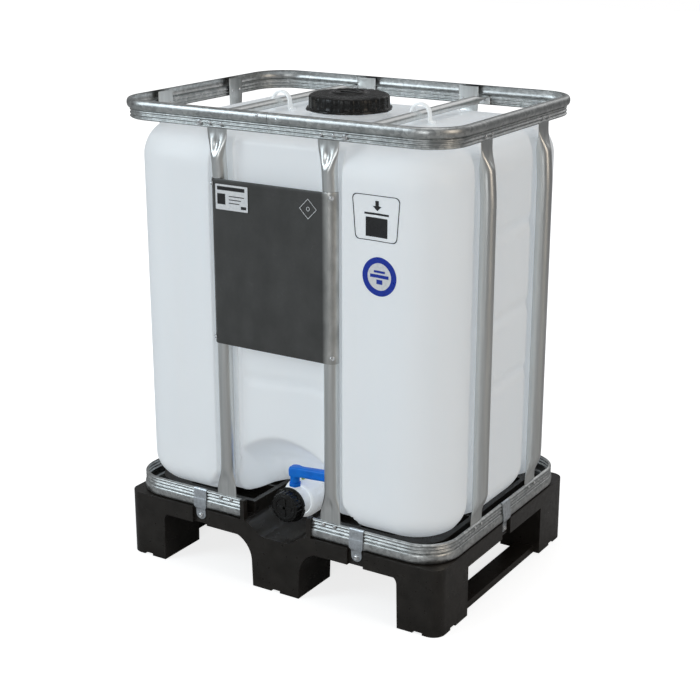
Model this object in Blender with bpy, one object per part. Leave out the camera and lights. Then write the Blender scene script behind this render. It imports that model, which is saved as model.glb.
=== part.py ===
"""Intermediate bulk container: a moulded tank in a frame of tubes and bands, on a plastic pallet.

Metres, +Z up. The origin is on the floor under the middle of the footprint, and the outlet faces -Y.
"""

from math import atan2, copysign, cos, pi, radians, sin

import bmesh
import bpy
from mathutils import Matrix, Vector

# Driving dimensions
LENGTH = 0.800
WIDTH = 0.600
GAP = 0.0003
MERGE = 0.000001

# Pallet
DECK_TOP = 0.149
DECK_BOTTOM = 0.112
DECK_SKIN = 0.006
PLATEAU_TOP = 0.1777
FOOT = 0.100
FOOT_DEPTH = 0.125
MIDDLE_FOOT = 0.123
RUNNER_HEIGHT = 0.016

# Bands
BAND_X = 0.3965
BAND_Y = 0.2930
BAND_RADIUS = 0.080
BAND_SHEET = 0.0018
BOTTOM_BAND = (DECK_TOP + GAP, 0.1925)
TOP_BAND = (0.9890, 1.0310)
OUTLET_GAP = 0.091

# Upright tubes
TUBE_RADIUS = 0.016
TUBE_WALL = 0.0015
TUBE_FLAT = 0.0246
FRONT_TUBE_X = 0.133
SIDE_TUBE_Y = 0.128
TUBE_AXIS_Y = 0.2795
TUBE_AXIS_X = 0.3980
TUBE_END = 0.00585

# Crossbars
BAR_X = 0.173
BAR_Z = 1.004
BAR_RADIUS = 0.0095
BAR_BOLT_Z = 0.998

# Clamps
CLAMP_X = 0.201
CLAMP_NAMES = ("front_left", "front_right", "rear_right", "rear_left", "left", "right")
SCREW_Z = 0.1305

# Label plate
PLATE_LOW = 0.540
PLATE_HIGH = 0.889

# Tank
TANK_X = 0.385
TANK_Y = 0.285
TANK_CORNER = 0.110
TIGHT_CORNER = 0.020
TANK_BOTTOM = 0.178
TANK_TOP = 0.985
TANK_WALL = 0.003
SHOULDER = 0.100
BOTTOM_EDGE = 0.060
GROOVE_DEPTH = 0.0275
SIDE_GROOVE = 0.0180
GROOVE_HALF = 0.029
GROOVE_SLOPE = 0.012
PANEL_DEPTH = 0.024
NICHE_DEPTH = 0.103
NICHE_HALF = 0.150
NICHE_SLOPE = 0.075
NICHE_TOP = 0.335
NICHE_RISE = 0.080
NECK_RADIUS = 0.078
NECK_TOP = 1.020

# Outlet: distances forward of the tank's middle are measured along -Y
VALVE_Z = 0.183
STEM_FORWARD = 0.220
BALL_RADIUS = 0.024
BALL_BORE = 0.016
SEAT_HOLE = 0.0172
CAVITY_RADIUS = 0.0255
SPOUT_RADIUS = 0.034
SPOUT_END = 0.172

STEEL = ((0.62, 0.64, 0.65), 0.38, 0.9)
BLACK = ((0.035, 0.034, 0.033), 0.45, 0.0)
PALLET = ((0.060, 0.055, 0.050), 0.55, 0.0)
TANK = ((0.88, 0.91, 0.94), 0.40, 0.0)
VALVE = ((0.86, 0.88, 0.90), 0.35, 0.0)
BLUE = ((0.01, 0.16, 0.74), 0.35, 0.0)
PLATE = ((0.063, 0.063, 0.065), 0.50, 0.4)
ZINC = ((0.55, 0.57, 0.60), 0.35, 0.9)
SEAL = ((0.02, 0.02, 0.02), 0.70, 0.0)
SEAT = ((0.92, 0.92, 0.90), 0.40, 0.0)
YELLOW = ((0.60, 0.72, 0.08), 0.50, 0.0)


# Mesh tools


def material(name, look):
    """A Principled BSDF of one colour, roughness and metallic value."""
    made = bpy.data.materials.new(name)
    made.use_nodes = True
    shader = made.node_tree.nodes["Principled BSDF"]
    colour, roughness, metallic = look
    shader.inputs["Base Color"].default_value = (*colour, 1.0)
    shader.inputs["Roughness"].default_value = roughness
    shader.inputs["Metallic"].default_value = metallic
    return made


def solid(name, verts, faces, look, place=None, smooth=40.0):
    """One closed object from points and faces, its coincident points made one."""
    work = bmesh.new()
    points = [work.verts.new(vert) for vert in verts]
    for face in faces:
        work.faces.new([points[index] for index in face])
    bmesh.ops.remove_doubles(work, verts=work.verts, dist=MERGE)
    bmesh.ops.recalc_face_normals(work, faces=work.faces)
    mesh = bpy.data.meshes.new(name)
    work.to_mesh(mesh)
    work.free()
    mesh.materials.append(material(name, look))
    mesh.shade_smooth()
    mesh.set_sharp_from_angle(angle=radians(smooth))
    made = bpy.data.objects.new(name, mesh)
    if place is not None:
        made.matrix_world = place
    bpy.context.collection.objects.link(made)
    return made


def copy_of(source, name, place):
    """A second object on the same mesh, with its modifiers, set in its own place."""
    made = source.copy()
    made.name = name
    made.matrix_world = place
    bpy.context.collection.objects.link(made)
    return made


def combine(target, operand, operation):
    """A Boolean with a hidden operand."""
    operand.hide_render = True
    operand.display_type = "WIRE"
    boolean = target.modifiers.new(operand.name, "BOOLEAN")
    boolean.operation = operation
    boolean.object = operand
    boolean.solver = "EXACT"


def loft(loops, ring=False):
    """Points and faces through loops of equal length, capped at both ends or joined into a ring."""
    count = len(loops[0])
    verts = [point for loop in loops for point in loop]
    spans = len(loops) if ring else len(loops) - 1
    faces = []
    for span in range(spans):
        here = span * count
        there = (span + 1) % len(loops) * count
        for i in range(count):
            j = (i + 1) % count
            faces.append((here + i, here + j, there + j, there + i))
    if not ring:
        last = (len(loops) - 1) * count
        faces.append(tuple(range(count)))
        faces.append(tuple(range(last, last + count)))
    return verts, faces


def thin_wall(loops):
    """A closed ring of loops in triangles, the inner half's diagonals beside the outer half's, so that
    twisted stretches of a thin wall don't cross."""
    verts, quads = loft(loops, ring=True)
    outer = len(quads) // 2
    faces = []
    for index, (a, b, c, d) in enumerate(quads):
        faces += [(a, b, c), (a, c, d)] if index < outer else [(b, c, d), (b, d, a)]
    return verts, faces


def turned(profile, steps):
    """Points and faces of a closed (radius, height) outline turned about Z."""
    loops = []
    for step in range(steps):
        angle = 2 * pi * step / steps
        loops.append([(radius * cos(angle), radius * sin(angle), height) for radius, height in profile])
    return loft(loops, ring=True)


def prism(outline, low, high):
    """Points and faces of a flat outline raised along Z."""
    return loft([[(x, y, low) for x, y in outline], [(x, y, high) for x, y in outline]])


def box_points(low, high):
    """Points and faces of a box between two corners."""
    outline = [(low[0], low[1]), (high[0], low[1]), (high[0], high[1]), (low[0], high[1])]
    return prism(outline, low[2], high[2])


def together(*pieces):
    """Several sets of points and faces as one, for an operand of separate bodies."""
    verts = []
    faces = []
    for piece_verts, piece_faces in pieces:
        start = len(verts)
        verts.extend(piece_verts)
        faces.extend(tuple(start + index for index in face) for face in piece_faces)
    return verts, faces


def rounded(centre, half_x, half_y, radius, steps):
    """A rectangle with round corners, anticlockwise."""
    points = []
    corners = ((1, 1, 0), (-1, 1, 90), (-1, -1, 180), (1, -1, 270))
    for side_x, side_y, start in corners:
        x = centre[0] + side_x * (half_x - radius)
        y = centre[1] + side_y * (half_y - radius)
        for step in range(steps + 1):
            angle = radians(start + 90 * step / steps)
            points.append((x + radius * cos(angle), y + radius * sin(angle)))
    return points


def ellipse(half_wide, half_thick, steps):
    """A closed oval, wide along its first axis."""
    angles = [2 * pi * step / steps for step in range(steps)]
    return [(half_wide * cos(angle), half_thick * sin(angle)) for angle in angles]


def facing(angle, x, y, z):
    """A place turned about Z."""
    return Matrix.Translation((x, y, z)) @ Matrix.Rotation(radians(angle), 4, "Z")


def forward():
    """A place at the outlet's height whose local Z runs along -Y, from Y = 0."""
    return Matrix.Translation((0, 0, VALVE_Z)) @ Matrix.Rotation(pi / 2, 4, "X")


# Pallet


def row_outline():
    """Feet and arches of the front row, seen from the front."""
    half = LENGTH / 2
    inner = half - FOOT
    middle = MIDDLE_FOOT / 2
    small = 0.018
    arch = 0.058
    under = 0.116
    right = [(middle, 0.0)]
    for step in range(5):
        angle = radians(180 - 90 * step / 4)
        right.append((middle + arch + arch * cos(angle), under - arch + arch * sin(angle)))
    for step in range(3):
        angle = radians(90 - 90 * step / 2)
        right.append((inner - small + small * cos(angle), under - small + small * sin(angle)))
    right.append((inner, 0.0))
    right.append((half, 0.0))
    right.append((half, DECK_TOP - 0.002))
    return right + [(-x, z) for x, z in reversed(right)]


def row_solid(low, high):
    """The row's outline drawn along Y."""
    outline = row_outline()
    return loft([[(x, low, z) for x, z in outline], [(x, high, z) for x, z in outline]])


def pallet():
    """Deck, plateau grid, six hollow feet and two runners."""
    half_x = LENGTH / 2
    half_y = WIDTH / 2
    deck = solid("pallet", *prism(rounded((0, 0), half_x, half_y, 0.016, 3), DECK_BOTTOM, DECK_TOP), PALLET)
    rows = together(
        row_solid(-half_y, -half_y + FOOT_DEPTH),
        row_solid(half_y - FOOT_DEPTH, half_y),
    )
    combine(deck, solid("pallet_rows", *rows, PALLET), "UNION")
    grid = [prism(rounded((0, 0), 0.362, 0.258, 0.06, 4), DECK_TOP - 0.003, PLATEAU_TOP)]
    for side in (-1, 1):
        stop = OUTLET_GAP - GAP
        low, high = sorted((side * stop, side * (stop - 0.010)))
        grid.append(box_points((low, -0.2995, DECK_TOP - 0.003), (high, -0.2860, 0.1940)))
    combine(deck, solid("pallet_plateau", *together(*grid), PALLET), "UNION")
    runners = []
    for side in (-1, 1):
        low, high = sorted((side * 0.340, side * 0.386))
        runners.append(box_points((low, -0.185, 0), (high, 0.185, RUNNER_HEIGHT)))
    combine(deck, solid("pallet_runners", *together(*runners), PALLET), "UNION")
    corners = prism(rounded((0, 0), half_x, half_y, 0.028, 5), -0.01, 0.3)
    combine(deck, solid("pallet_corners", *corners, PALLET), "INTERSECT")
    combine(deck, solid("pallet_hollows", *pallet_hollows(), PALLET), "DIFFERENCE")
    return deck


def pallet_hollows():
    """Hollows under the deck and in the feet, cells in the plateau, clamp seats and the outlet notch."""
    wall = 0.006
    under = DECK_TOP - DECK_SKIN
    foot_wall = 0.012
    outer_x = LENGTH / 2 - foot_wall
    outer_y = WIDTH / 2 - foot_wall
    behind_clamp = 0.0145
    apron_y = WIDTH / 2 - behind_clamp
    side_x = LENGTH / 2 - behind_clamp
    foot_x = LENGTH / 2 - FOOT + wall
    foot_y = WIDTH / 2 - FOOT_DEPTH + wall
    middle = MIDDLE_FOOT / 2 - wall
    cells = []
    for side in (-1, 1):
        rear = side > 0
        y_low, y_high = sorted((side * foot_y, side * outer_y))
        middle_top = under if rear else DECK_BOTTOM - 0.004
        cells.append(box_points((-middle, y_low, -0.01), (middle, y_high, middle_top)))
        for end in (-1, 1):
            x_low, x_high = sorted((end * foot_x, end * outer_x))
            cells.append(box_points((x_low, y_low, -0.01), (x_high, y_high, under)))
            x_low, x_high = sorted((end * 0.128, end * (foot_x - 2 * wall)))
            apron_low, apron_high = sorted((side * foot_y, side * apron_y))
            cells.append(box_points((x_low, apron_low, DECK_BOTTOM - 0.03), (x_high, apron_high, under)))
    inside_y = foot_y - 2 * wall
    for low, high in ((-side_x, -0.306), (-0.294, -0.128), (-0.120, 0.120), (0.128, 0.294), (0.306, side_x)):
        front = inside_y if abs(low + high) > 0.01 else 0.072
        cells.append(box_points((low, -front, RUNNER_HEIGHT + 0.004), (high, inside_y, under)))
    rib = 0.004
    columns = (-0.354, -0.170, 0.0, 0.170, 0.354)
    rows = (-0.250, -0.076, 0.090, 0.250)
    for x_low, x_high in zip(columns, columns[1:]):
        for y_low, y_high in zip(rows, rows[1:]):
            corner = abs(x_low + x_high) > 0.3 and abs(y_low + y_high) > 0.1
            trim = 0.020 if corner else 0.0
            outline = [(x_low + rib, y_low + rib), (x_high - rib, y_low + rib)]
            outline += [(x_high - rib, y_high - rib), (x_low + rib, y_high - rib)]
            outline = [(x * (1 - trim), y * (1 - trim)) for x, y in outline]
            if not (y_high < 0 and abs(x_low + x_high) < 0.2):
                cells.append(prism(outline, DECK_TOP, 0.20))
    for angle, reach, along in clamp_places():
        turn = Matrix.Rotation(radians(angle), 4, "Z")
        low = (along - 0.019, -reach - 0.03, 0.09)
        high = (along + 0.019, -reach + 0.0045, 0.152)
        verts, faces = box_points(low, high)
        cells.append(([tuple(turn @ Vector(vert)) for vert in verts], faces))
    return together(*cells, notch())


def notch():
    """The dished way in to the outlet at the front of the deck."""
    half = OUTLET_GAP - 0.011
    outline = [(half, 0.1480), (0.058, 0.1340), (0.035, 0.1220), (-0.035, 0.1220), (-0.058, 0.1340)]
    outline += [(-half, 0.1480), (-half, 0.30), (half, 0.30)]
    return loft([[(x, -0.40, z) for x, z in outline], [(x, -0.0835, z) for x, z in outline]])


# Frame


def band_path(half_x, half_y, steps):
    """Corner centres and outward directions round a band, anticlockwise from the front's middle."""
    stations = []
    corners = ((1, -1, -90), (1, 1, 0), (-1, 1, 90), (-1, -1, 180))
    for side_x, side_y, start in corners:
        x = side_x * (half_x - BAND_RADIUS)
        y = side_y * (half_y - BAND_RADIUS)
        for step in range(steps + 1):
            angle = radians(start + 90 * step / steps)
            stations.append((x, y, cos(angle), sin(angle)))
    return stations


def band_section(low, high, bulge, bulge_up):
    """A closed sheet section: distance out from the band's face, and height."""
    tall = high - low
    outer = [(-0.001, 0.0), (-0.001, 0.50 * tall), (bulge, 0.60 * tall), (bulge, 0.90 * tall), (0.0, tall)]
    sheet = [(out - BAND_SHEET, up) for out, up in reversed(outer)]
    section = outer + sheet
    if bulge_up:
        return [(out, low + up) for out, up in section]
    return [(out, high - up) for out, up in section]


def band(name, section, opening):
    """A band swept round the frame, open at the front where opening is above zero."""
    stations = band_path(BAND_X, BAND_Y, 5)
    if opening:
        straight_y = -(BAND_Y - BAND_RADIUS)
        stations = [(opening, straight_y, 0, -1)] + stations + [(-opening, straight_y, 0, -1)]
    loops = []
    for x, y, out_x, out_y in stations:
        reach = [(BAND_RADIUS + out, up) for out, up in section]
        loops.append([(x + out_x * far, y + out_y * far, up) for far, up in reach])
    return solid(name, *loft(loops, ring=not opening), STEEL, smooth=30.0)


def tube_loops(stations, wall, steps):
    """Outer and inner loops of a tube: each station is a place, a half width and a half depth."""
    outer = []
    inner = []
    for place, wide, thick in stations:
        outer.append([tuple(place @ Vector((u, v, 0))) for u, v in ellipse(wide, thick, steps)])
        hole = ellipse(wide - wall, thick - wall, steps)
        inner.append([tuple(place @ Vector((u, v, 0))) for u, v in hole])
    return outer + inner[::-1]


def upright_stations(press):
    """Sections of an upright along its height, its flattened ends set off its axis by press."""
    flat = TUBE_WALL + 0.00025
    low_end = BOTTOM_BAND[0] + 0.002
    high_end = TOP_BAND[1] - 0.004
    heights = (
        (low_end, TUBE_FLAT, flat, press),
        (0.200, TUBE_FLAT, flat, press),
        (0.262, TUBE_RADIUS, TUBE_RADIUS, 0.0),
        (0.925, TUBE_RADIUS, TUBE_RADIUS, 0.0),
        (0.985, TUBE_FLAT, flat, press),
        (high_end, TUBE_FLAT, flat, press),
    )
    return [(Matrix.Translation((0, out, z)), wide, thick) for z, wide, thick, out in heights]


def uprights():
    """Two tubes on each side, the frame's front and rear ones by side and then the end ones."""
    along = tube_loops(upright_stations(TUBE_AXIS_Y + TUBE_END - BAND_Y), TUBE_WALL, 12)
    across = tube_loops(upright_stations(TUBE_AXIS_X + TUBE_END - BAND_X), TUBE_WALL, 12)
    first = solid("upright_front_left", *thin_wall(along), STEEL)
    first.matrix_world = facing(0, -FRONT_TUBE_X, -TUBE_AXIS_Y, 0)
    copy_of(first, "upright_front_right", facing(0, FRONT_TUBE_X, -TUBE_AXIS_Y, 0))
    copy_of(first, "upright_rear_left", facing(180, -FRONT_TUBE_X, TUBE_AXIS_Y, 0))
    copy_of(first, "upright_rear_right", facing(180, FRONT_TUBE_X, TUBE_AXIS_Y, 0))
    end = solid("upright_left_front", *thin_wall(across), STEEL)
    end.matrix_world = facing(-90, -TUBE_AXIS_X, -SIDE_TUBE_Y, 0)
    copy_of(end, "upright_left_rear", facing(-90, -TUBE_AXIS_X, SIDE_TUBE_Y, 0))
    copy_of(end, "upright_right_front", facing(90, TUBE_AXIS_X, -SIDE_TUBE_Y, 0))
    copy_of(end, "upright_right_rear", facing(90, TUBE_AXIS_X, SIDE_TUBE_Y, 0))


def crossbars():
    """Tubes over the tank, flattened inside the top band; gives what drills their bolt holes."""
    flat = TUBE_WALL + 0.00025
    wide = 0.0140
    plate_y = BAND_Y - TUBE_END
    half = [
        ((0.240, BAR_Z), 0, BAR_RADIUS, BAR_RADIUS),
        ((0.262, BAR_Z + 0.002), 0, wide, flat + 0.001),
        ((plate_y - 0.0040, BAR_Z + 0.0045), -20, wide, flat),
        ((plate_y, BAR_Z + 0.0005), -78, wide, flat),
        ((plate_y, 0.9905), -90, wide, flat),
    ]
    stations = []
    for (y, z), tilt, across, thick in reversed(half):
        place = Matrix.Translation((0, -y, z)) @ Matrix.Rotation(radians(-tilt), 4, "X")
        stations.append((place @ Matrix.Rotation(pi / 2, 4, "X"), across, thick))
    for (y, z), tilt, across, thick in half:
        place = Matrix.Translation((0, y, z)) @ Matrix.Rotation(radians(tilt), 4, "X")
        stations.append((place @ Matrix.Rotation(pi / 2, 4, "X"), across, thick))
    holes = []
    for side in (-1, 1):
        hole = [(x, z + BAR_BOLT_Z) for x, z in ellipse(0.0035, 0.0035, 8)]
        holes.append(loft([[(x, side * 0.270, z) for x, z in hole], [(x, side * 0.310, z) for x, z in hole]]))
    drills = []
    for name, x in (("left", -BAR_X), ("right", BAR_X)):
        place = Matrix.Translation((x, 0, 0))
        bar = solid("crossbar_" + name, *thin_wall(tube_loops(stations, TUBE_WALL, 10)), STEEL, place)
        drill = solid("crossbar_holes_" + name, *together(*holes), STEEL, place)
        combine(bar, drill, "DIFFERENCE")
        drills.append(drill)
    return drills


def bolt(name, head, reach, place, look=ZINC):
    """A hexagon bolt along -Z from its head's seat, with a short washer face."""
    radius, tall, shank = head
    profile = [(0, tall), (radius * 0.86, tall), (radius, tall * 0.8), (radius, 0)]
    profile += [(shank, 0), (shank, -reach)]
    profile.append((0, -reach))
    return solid(name, *turned(profile, 6), look, place)


def crossbar_bolts():
    """Bolts through the top band into the crossbars' ends."""
    seat = BAND_Y - 0.0008
    for name, x, side in (
        ("crossbar_bolt_front_left", -BAR_X, -1),
        ("crossbar_bolt_front_right", BAR_X, -1),
        ("crossbar_bolt_rear_left", -BAR_X, 1),
        ("crossbar_bolt_rear_right", BAR_X, 1),
    ):
        place = Matrix.Translation((x, side * seat, BAR_BOLT_Z)) @ Matrix.Rotation(-side * pi / 2, 4, "X")
        bolt(name, (0.0055, 0.0042, 0.0030), 0.012, place)


def clips():
    """Arched clips over the crossbars, with feet on the tank's top."""
    reach = 0.0215
    thick = 0.0045
    outline = []
    for step in range(7):
        angle = pi * step / 6
        outline.append(((reach + thick) * cos(angle), 1.0035 + (reach + thick) * sin(angle)))
    outline += [(-reach - thick, TANK_TOP + 0.0045), (-reach + thick, TANK_TOP + 0.0045)]
    for step in range(7):
        angle = pi - pi * step / 6
        outline.append(((reach - thick) * cos(angle), 1.0035 + (reach - thick) * sin(angle)))
    outline += [(reach - thick, TANK_TOP + 0.0045), (reach + thick, TANK_TOP + 0.0045)]
    half = 0.006
    points = loft([[(x, -half, z) for x, z in outline], [(x, half, z) for x, z in outline]])
    solid("crossbar_clip_left", *points, VALVE, Matrix.Translation((-BAR_X, 0, 0)))
    solid("crossbar_clip_right", *points, VALVE, Matrix.Translation((BAR_X, 0, 0)))


def clamp_places():
    """Turn about Z, reach to the band's face and place along it, for each hold-down clamp."""
    front = WIDTH / 2 - 0.004
    end = LENGTH / 2 - 0.004
    return (
        (0, front, -CLAMP_X),
        (0, front, CLAMP_X),
        (180, front, -CLAMP_X),
        (180, front, CLAMP_X),
        (-90, end, 0.0),
        (90, end, 0.0),
    )


def clamps():
    """Straps hooked over the bottom band, each screwed to the pallet's edge."""
    sheet = 0.002
    top = BOTTOM_BAND[1] + GAP + sheet / 2
    for name, (angle, reach, along) in zip(CLAMP_NAMES, clamp_places()):
        face = (BAND_Y if reach < 0.3 else BAND_X) + sheet / 2 + GAP
        bulge = face + 0.0022
        inside = face - BAND_SHEET - sheet - 2 * GAP - 0.0012
        seat = reach - 0.0045 + sheet / 2 + GAP
        route = (
            (inside, top - 0.009, 0.0165),
            (inside, top - 0.001, 0.0165),
            (inside + 0.001, top, 0.0165),
            (face - 0.001, top, 0.0165),
            (face, top - 0.001, 0.0165),
            (face, 0.1730, 0.0165),
            (bulge, 0.1690, 0.0165),
            (bulge, 0.1500, 0.0165),
            (seat, 0.1455, 0.0125),
            (seat, 0.1220, 0.0125),
        )
        loops = []
        for index, (out, up, half) in enumerate(route):
            before = route[max(index - 1, 0)]
            after = route[min(index + 1, len(route) - 1)]
            run = Vector((after[0] - before[0], after[1] - before[1])).normalized()
            across = Vector((-run.y, run.x)) * sheet / 2
            near = (out + across.x, up + across.y)
            far = (out - across.x, up - across.y)
            corners = ((-half, near), (half, near), (half, far), (-half, far))
            loops.append([(along + side, -point[0], point[1]) for side, point in corners])
        strap = solid("clamp_" + name, *loft(loops), ZINC, facing(angle, 0, 0, 0))
        hole = [(x + along, z + SCREW_Z) for x, z in ellipse(0.0034, 0.0034, 8)]
        far_end = -seat - 0.01
        near_end = -seat + 0.01
        drill = loft([[(x, far_end, z) for x, z in hole], [(x, near_end, z) for x, z in hole]])
        combine(strap, solid("clamp_hole_" + name, *drill, ZINC, facing(angle, 0, 0, 0)), "DIFFERENCE")
        place = facing(angle, 0, 0, 0) @ Matrix.Translation((along, -seat - sheet / 2 - GAP, SCREW_Z))
        bolt("clamp_screw_" + name, (0.0065, 0.0035, 0.0028), 0.0018, place @ Matrix.Rotation(pi / 2, 4, "X"))


def label_plate():
    """A sheet across the two front tubes, its ends curled round them, with rolled top and bottom edges."""
    sheet = 0.0010
    reach = TUBE_RADIUS + GAP + 0.0007
    outer = []
    inner = []
    for side in (-1, 1):
        turns = range(4) if side < 0 else range(3, -1, -1)
        for step in turns:
            angle = radians(90 * (1 - step / 3))
            for points, radius in ((outer, reach + sheet), (inner, reach)):
                x = side * (FRONT_TUBE_X + radius * sin(angle))
                points.append((x, -TUBE_AXIS_Y - radius * cos(angle)))
    outline = outer + inner[::-1]
    plate = solid("label_plate", *prism(outline, PLATE_LOW, PLATE_HIGH), PLATE)
    drills = []
    for place in label_screw_places():
        hole = [tuple(place @ Vector((u, v, -0.004))) for u, v in ellipse(0.0027, 0.0027, 8)]
        far = [tuple(place @ Vector((u, v, 0.004))) for u, v in ellipse(0.0027, 0.0027, 8)]
        drills.append(loft([hole, far]))
    combine(plate, solid("label_plate_holes", *together(*drills), PLATE), "DIFFERENCE")
    for name, place in zip(("lower_left", "upper_left", "lower_right", "upper_right"), label_screw_places()):
        bolt("label_screw_" + name, (0.0050, 0.0030, 0.0022), 0.0016, place)


def label_screw_places():
    """Each label screw's seat on the curled sheet, 35 degrees round from the front."""
    places = []
    lean = radians(35)
    reach = TUBE_RADIUS + 0.0010 + 0.0010 + 3 * GAP
    for side in (-1, 1):
        for z in (PLATE_LOW + 0.013, PLATE_HIGH - 0.011):
            x = side * (FRONT_TUBE_X + reach * sin(lean))
            y = -TUBE_AXIS_Y - reach * cos(lean)
            turn = Matrix.Rotation(side * lean, 4, "Z") @ Matrix.Rotation(pi / 2, 4, "X")
            places.append(Matrix.Translation((x, y, z)) @ turn)
    return places


# Tank


def ramp(value):
    """Zero below nought, one above one, and a smooth rise between."""
    value = min(max(value, 0.0), 1.0)
    return value * value * (3 - 2 * value)


def wall_depth(side, along, z):
    """How far the tank's wall stands in from its flat face, at a place along one side."""
    long_side = side in ("front", "rear")
    tubes = FRONT_TUBE_X if long_side else SIDE_TUBE_Y
    groove = GROOVE_DEPTH if long_side else SIDE_GROOVE
    near = abs(abs(along) - tubes)
    depth = groove * ramp((GROOVE_HALF - near) / GROOVE_SLOPE)
    if long_side:
        panel = PANEL_DEPTH * ramp((tubes - GROOVE_HALF + GROOVE_SLOPE - abs(along)) / GROOVE_SLOPE)
        if side == "front":
            rise = ramp((NICHE_TOP - z) / NICHE_RISE)
            panel += NICHE_DEPTH * rise * ramp((NICHE_HALF - abs(along)) / NICHE_SLOPE)
        depth = max(depth, panel)
    return depth


def tank_stations():
    """Places round the tank: its side, the X or Y along that side, and the outward angle."""
    edges = (GROOVE_HALF, GROOVE_HALF - GROOVE_SLOPE)
    offsets = (-edges[0], -edges[1], edges[1], edges[0])
    wide = [0.075] + [FRONT_TUBE_X + offset for offset in offsets] + [TANK_X - TANK_CORNER]
    wide = [-x for x in reversed(wide)] + [0.0] + wide
    deep = [SIDE_TUBE_Y + offset for offset in offsets] + [TANK_Y - TANK_CORNER]
    deep = [-y for y in reversed(deep)] + [0.0] + deep
    corner = (22.5, 45, 67.5)
    stations = [("front", x, -90) for x in wide]
    stations += [("corner", 0, -90 + angle) for angle in corner]
    stations += [("right", y, 0) for y in deep]
    stations += [("corner", 0, angle) for angle in corner]
    stations += [("rear", x, 90) for x in reversed(wide)]
    stations += [("corner", 0, 90 + angle) for angle in corner]
    stations += [("left", y, 180) for y in reversed(deep)]
    stations += [("corner", 0, 180 + angle) for angle in corner]
    return stations


def tank_levels():
    """Height and how far in the whole outline stands, up the tank's wall and over its shoulder."""
    levels = []
    for step in range(3):
        angle = radians(45 * step)
        inset = BOTTOM_EDGE * (1 - sin(angle))
        levels.append((TANK_BOTTOM + BOTTOM_EDGE * (1 - cos(angle)), inset))
    levels += [(0.255, 0.0), (0.295, 0.0), (NICHE_TOP, 0.0)]
    for step in range(4):
        angle = radians(30 * step)
        inset = SHOULDER * (1 - cos(angle))
        levels.append((TANK_TOP - SHOULDER * (1 - sin(angle)), inset))
    return levels


def tank_loop(z, inset):
    """One loop of the tank's wall, its corners tightening as it stands in."""
    radius = max(TANK_CORNER - inset, TIGHT_CORNER)
    core_x = TANK_X - inset - radius
    core_y = TANK_Y - inset - radius
    loop = []
    for side, along, angle in tank_stations():
        out_x = cos(radians(angle))
        out_y = sin(radians(angle))
        depth = 0.0 if side == "corner" else wall_depth(side, along, z)
        back = depth if z < NICHE_TOP else max(depth - inset, 0.0)
        if side == "corner":
            x = copysign(core_x, out_x) + radius * out_x
            y = copysign(core_y, out_y) + radius * out_y
        elif side in ("front", "rear"):
            x = along * core_x / (TANK_X - TANK_CORNER)
            y = copysign(core_y + radius - back, out_y)
        else:
            x = copysign(core_x + radius - back, out_x)
            y = along * core_y / (TANK_Y - TANK_CORNER)
        loop.append((x, y, z))
    return loop


def neck_loop(outline, radius, z):
    """A round loop whose points face those of an outline."""
    angles = [atan2(y, x) for x, y, _ in outline]
    return [(radius * cos(angle), radius * sin(angle), z) for angle in angles]


def tank():
    """The moulded shell with its neck, and the outlet spout at the bottom of its front niche."""
    loops = [tank_loop(z, inset) for z, inset in tank_levels()]
    top = loops[-1]
    loops.append(neck_loop(top, 0.115, TANK_TOP + 0.001))
    loops.append(neck_loop(top, NECK_RADIUS, TANK_TOP + 0.003))
    loops.append(neck_loop(top, NECK_RADIUS, NECK_TOP))
    verts, faces = loft(loops)
    floor, _mouth = faces[-2:]
    faces = faces[:-2]
    verts.append((0.0, 0.05, TANK_BOTTOM))
    middle = len(verts) - 1
    for i in range(len(floor)):
        faces.append((floor[i], floor[(i + 1) % len(floor)], middle))
    shell = solid("tank", verts, faces, TANK)
    wall = shell.modifiers.new("wall", "SOLIDIFY")
    wall.thickness = TANK_WALL
    wall.offset = -1
    spout = [(0, 0.086), (SPOUT_RADIUS, 0.086), (SPOUT_RADIUS, SPOUT_END), (0, SPOUT_END)]
    combine(shell, solid("tank_spout", *turned(spout, 20), TANK, forward()), "UNION")
    bore = [(0, 0.095), (0.027, 0.095), (0.027, 0.200), (0, 0.200)]
    combine(shell, solid("tank_spout_bore", *turned(bore, 16), TANK, forward()), "DIFFERENCE")
    inside = box_points((-0.036, -0.148, TANK_BOTTOM + 0.006), (0.036, -0.080, 0.225))
    combine(shell, solid("tank_spout_inside", *inside, TANK), "DIFFERENCE")
    return shell


def lid():
    """The screw lid with its gasket, and the vent plug with its gasket."""
    profile = [
        (0.0800, 1.0020),
        (0.0930, 1.0020),
        (0.0930, 1.0065),
        (0.0865, 1.0080),
        (0.0855, 1.0300),
        (0.0800, 1.0345),
        (0.0400, 1.0365),
        (0.0375, 1.0400),
        (0.0315, 1.0400),
        (0.0305, 1.0325),
        (0.0262, 1.0325),
        (0.0262, 1.0270),
        (0.0700, 1.0270),
        (0.0715, 1.0246),
        (0.0800, 1.0246),
    ]
    solid("lid", *turned(profile, 24), BLACK)
    ring = [(0.0740, 1.0203), (0.0782, 1.0203), (0.0782, 1.0243), (0.0740, 1.0243)]
    solid("lid_gasket", *turned(ring, 24), SEAL)
    head = [
        (0.0, 1.0120),
        (0.0252, 1.0120),
        (0.0252, 1.0346),
        (0.0290, 1.0346),
        (0.0290, 1.0385),
        (0.0220, 1.0385),
        (0.0205, 1.0365),
        (0.0, 1.0365),
    ]
    plug = solid("vent_plug", *turned(head, 20), BLACK)
    grip = solid("vent_plug_grip", *box_points((-0.0208, -0.0045, 1.0355), (0.0208, 0.0045, 1.0395)), BLACK)
    combine(plug, grip, "UNION")
    ring = [(0.0262, 1.0328), (0.0288, 1.0328), (0.0288, 1.0343), (0.0262, 1.0343)]
    solid("vent_gasket", *turned(ring, 20), SEAL)


# Outlet valve


def ring_profile(inner, outer, near, far):
    """A square-cornered ring's outline."""
    return [(inner, near), (outer, near), (outer, far), (inner, far)]


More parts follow.
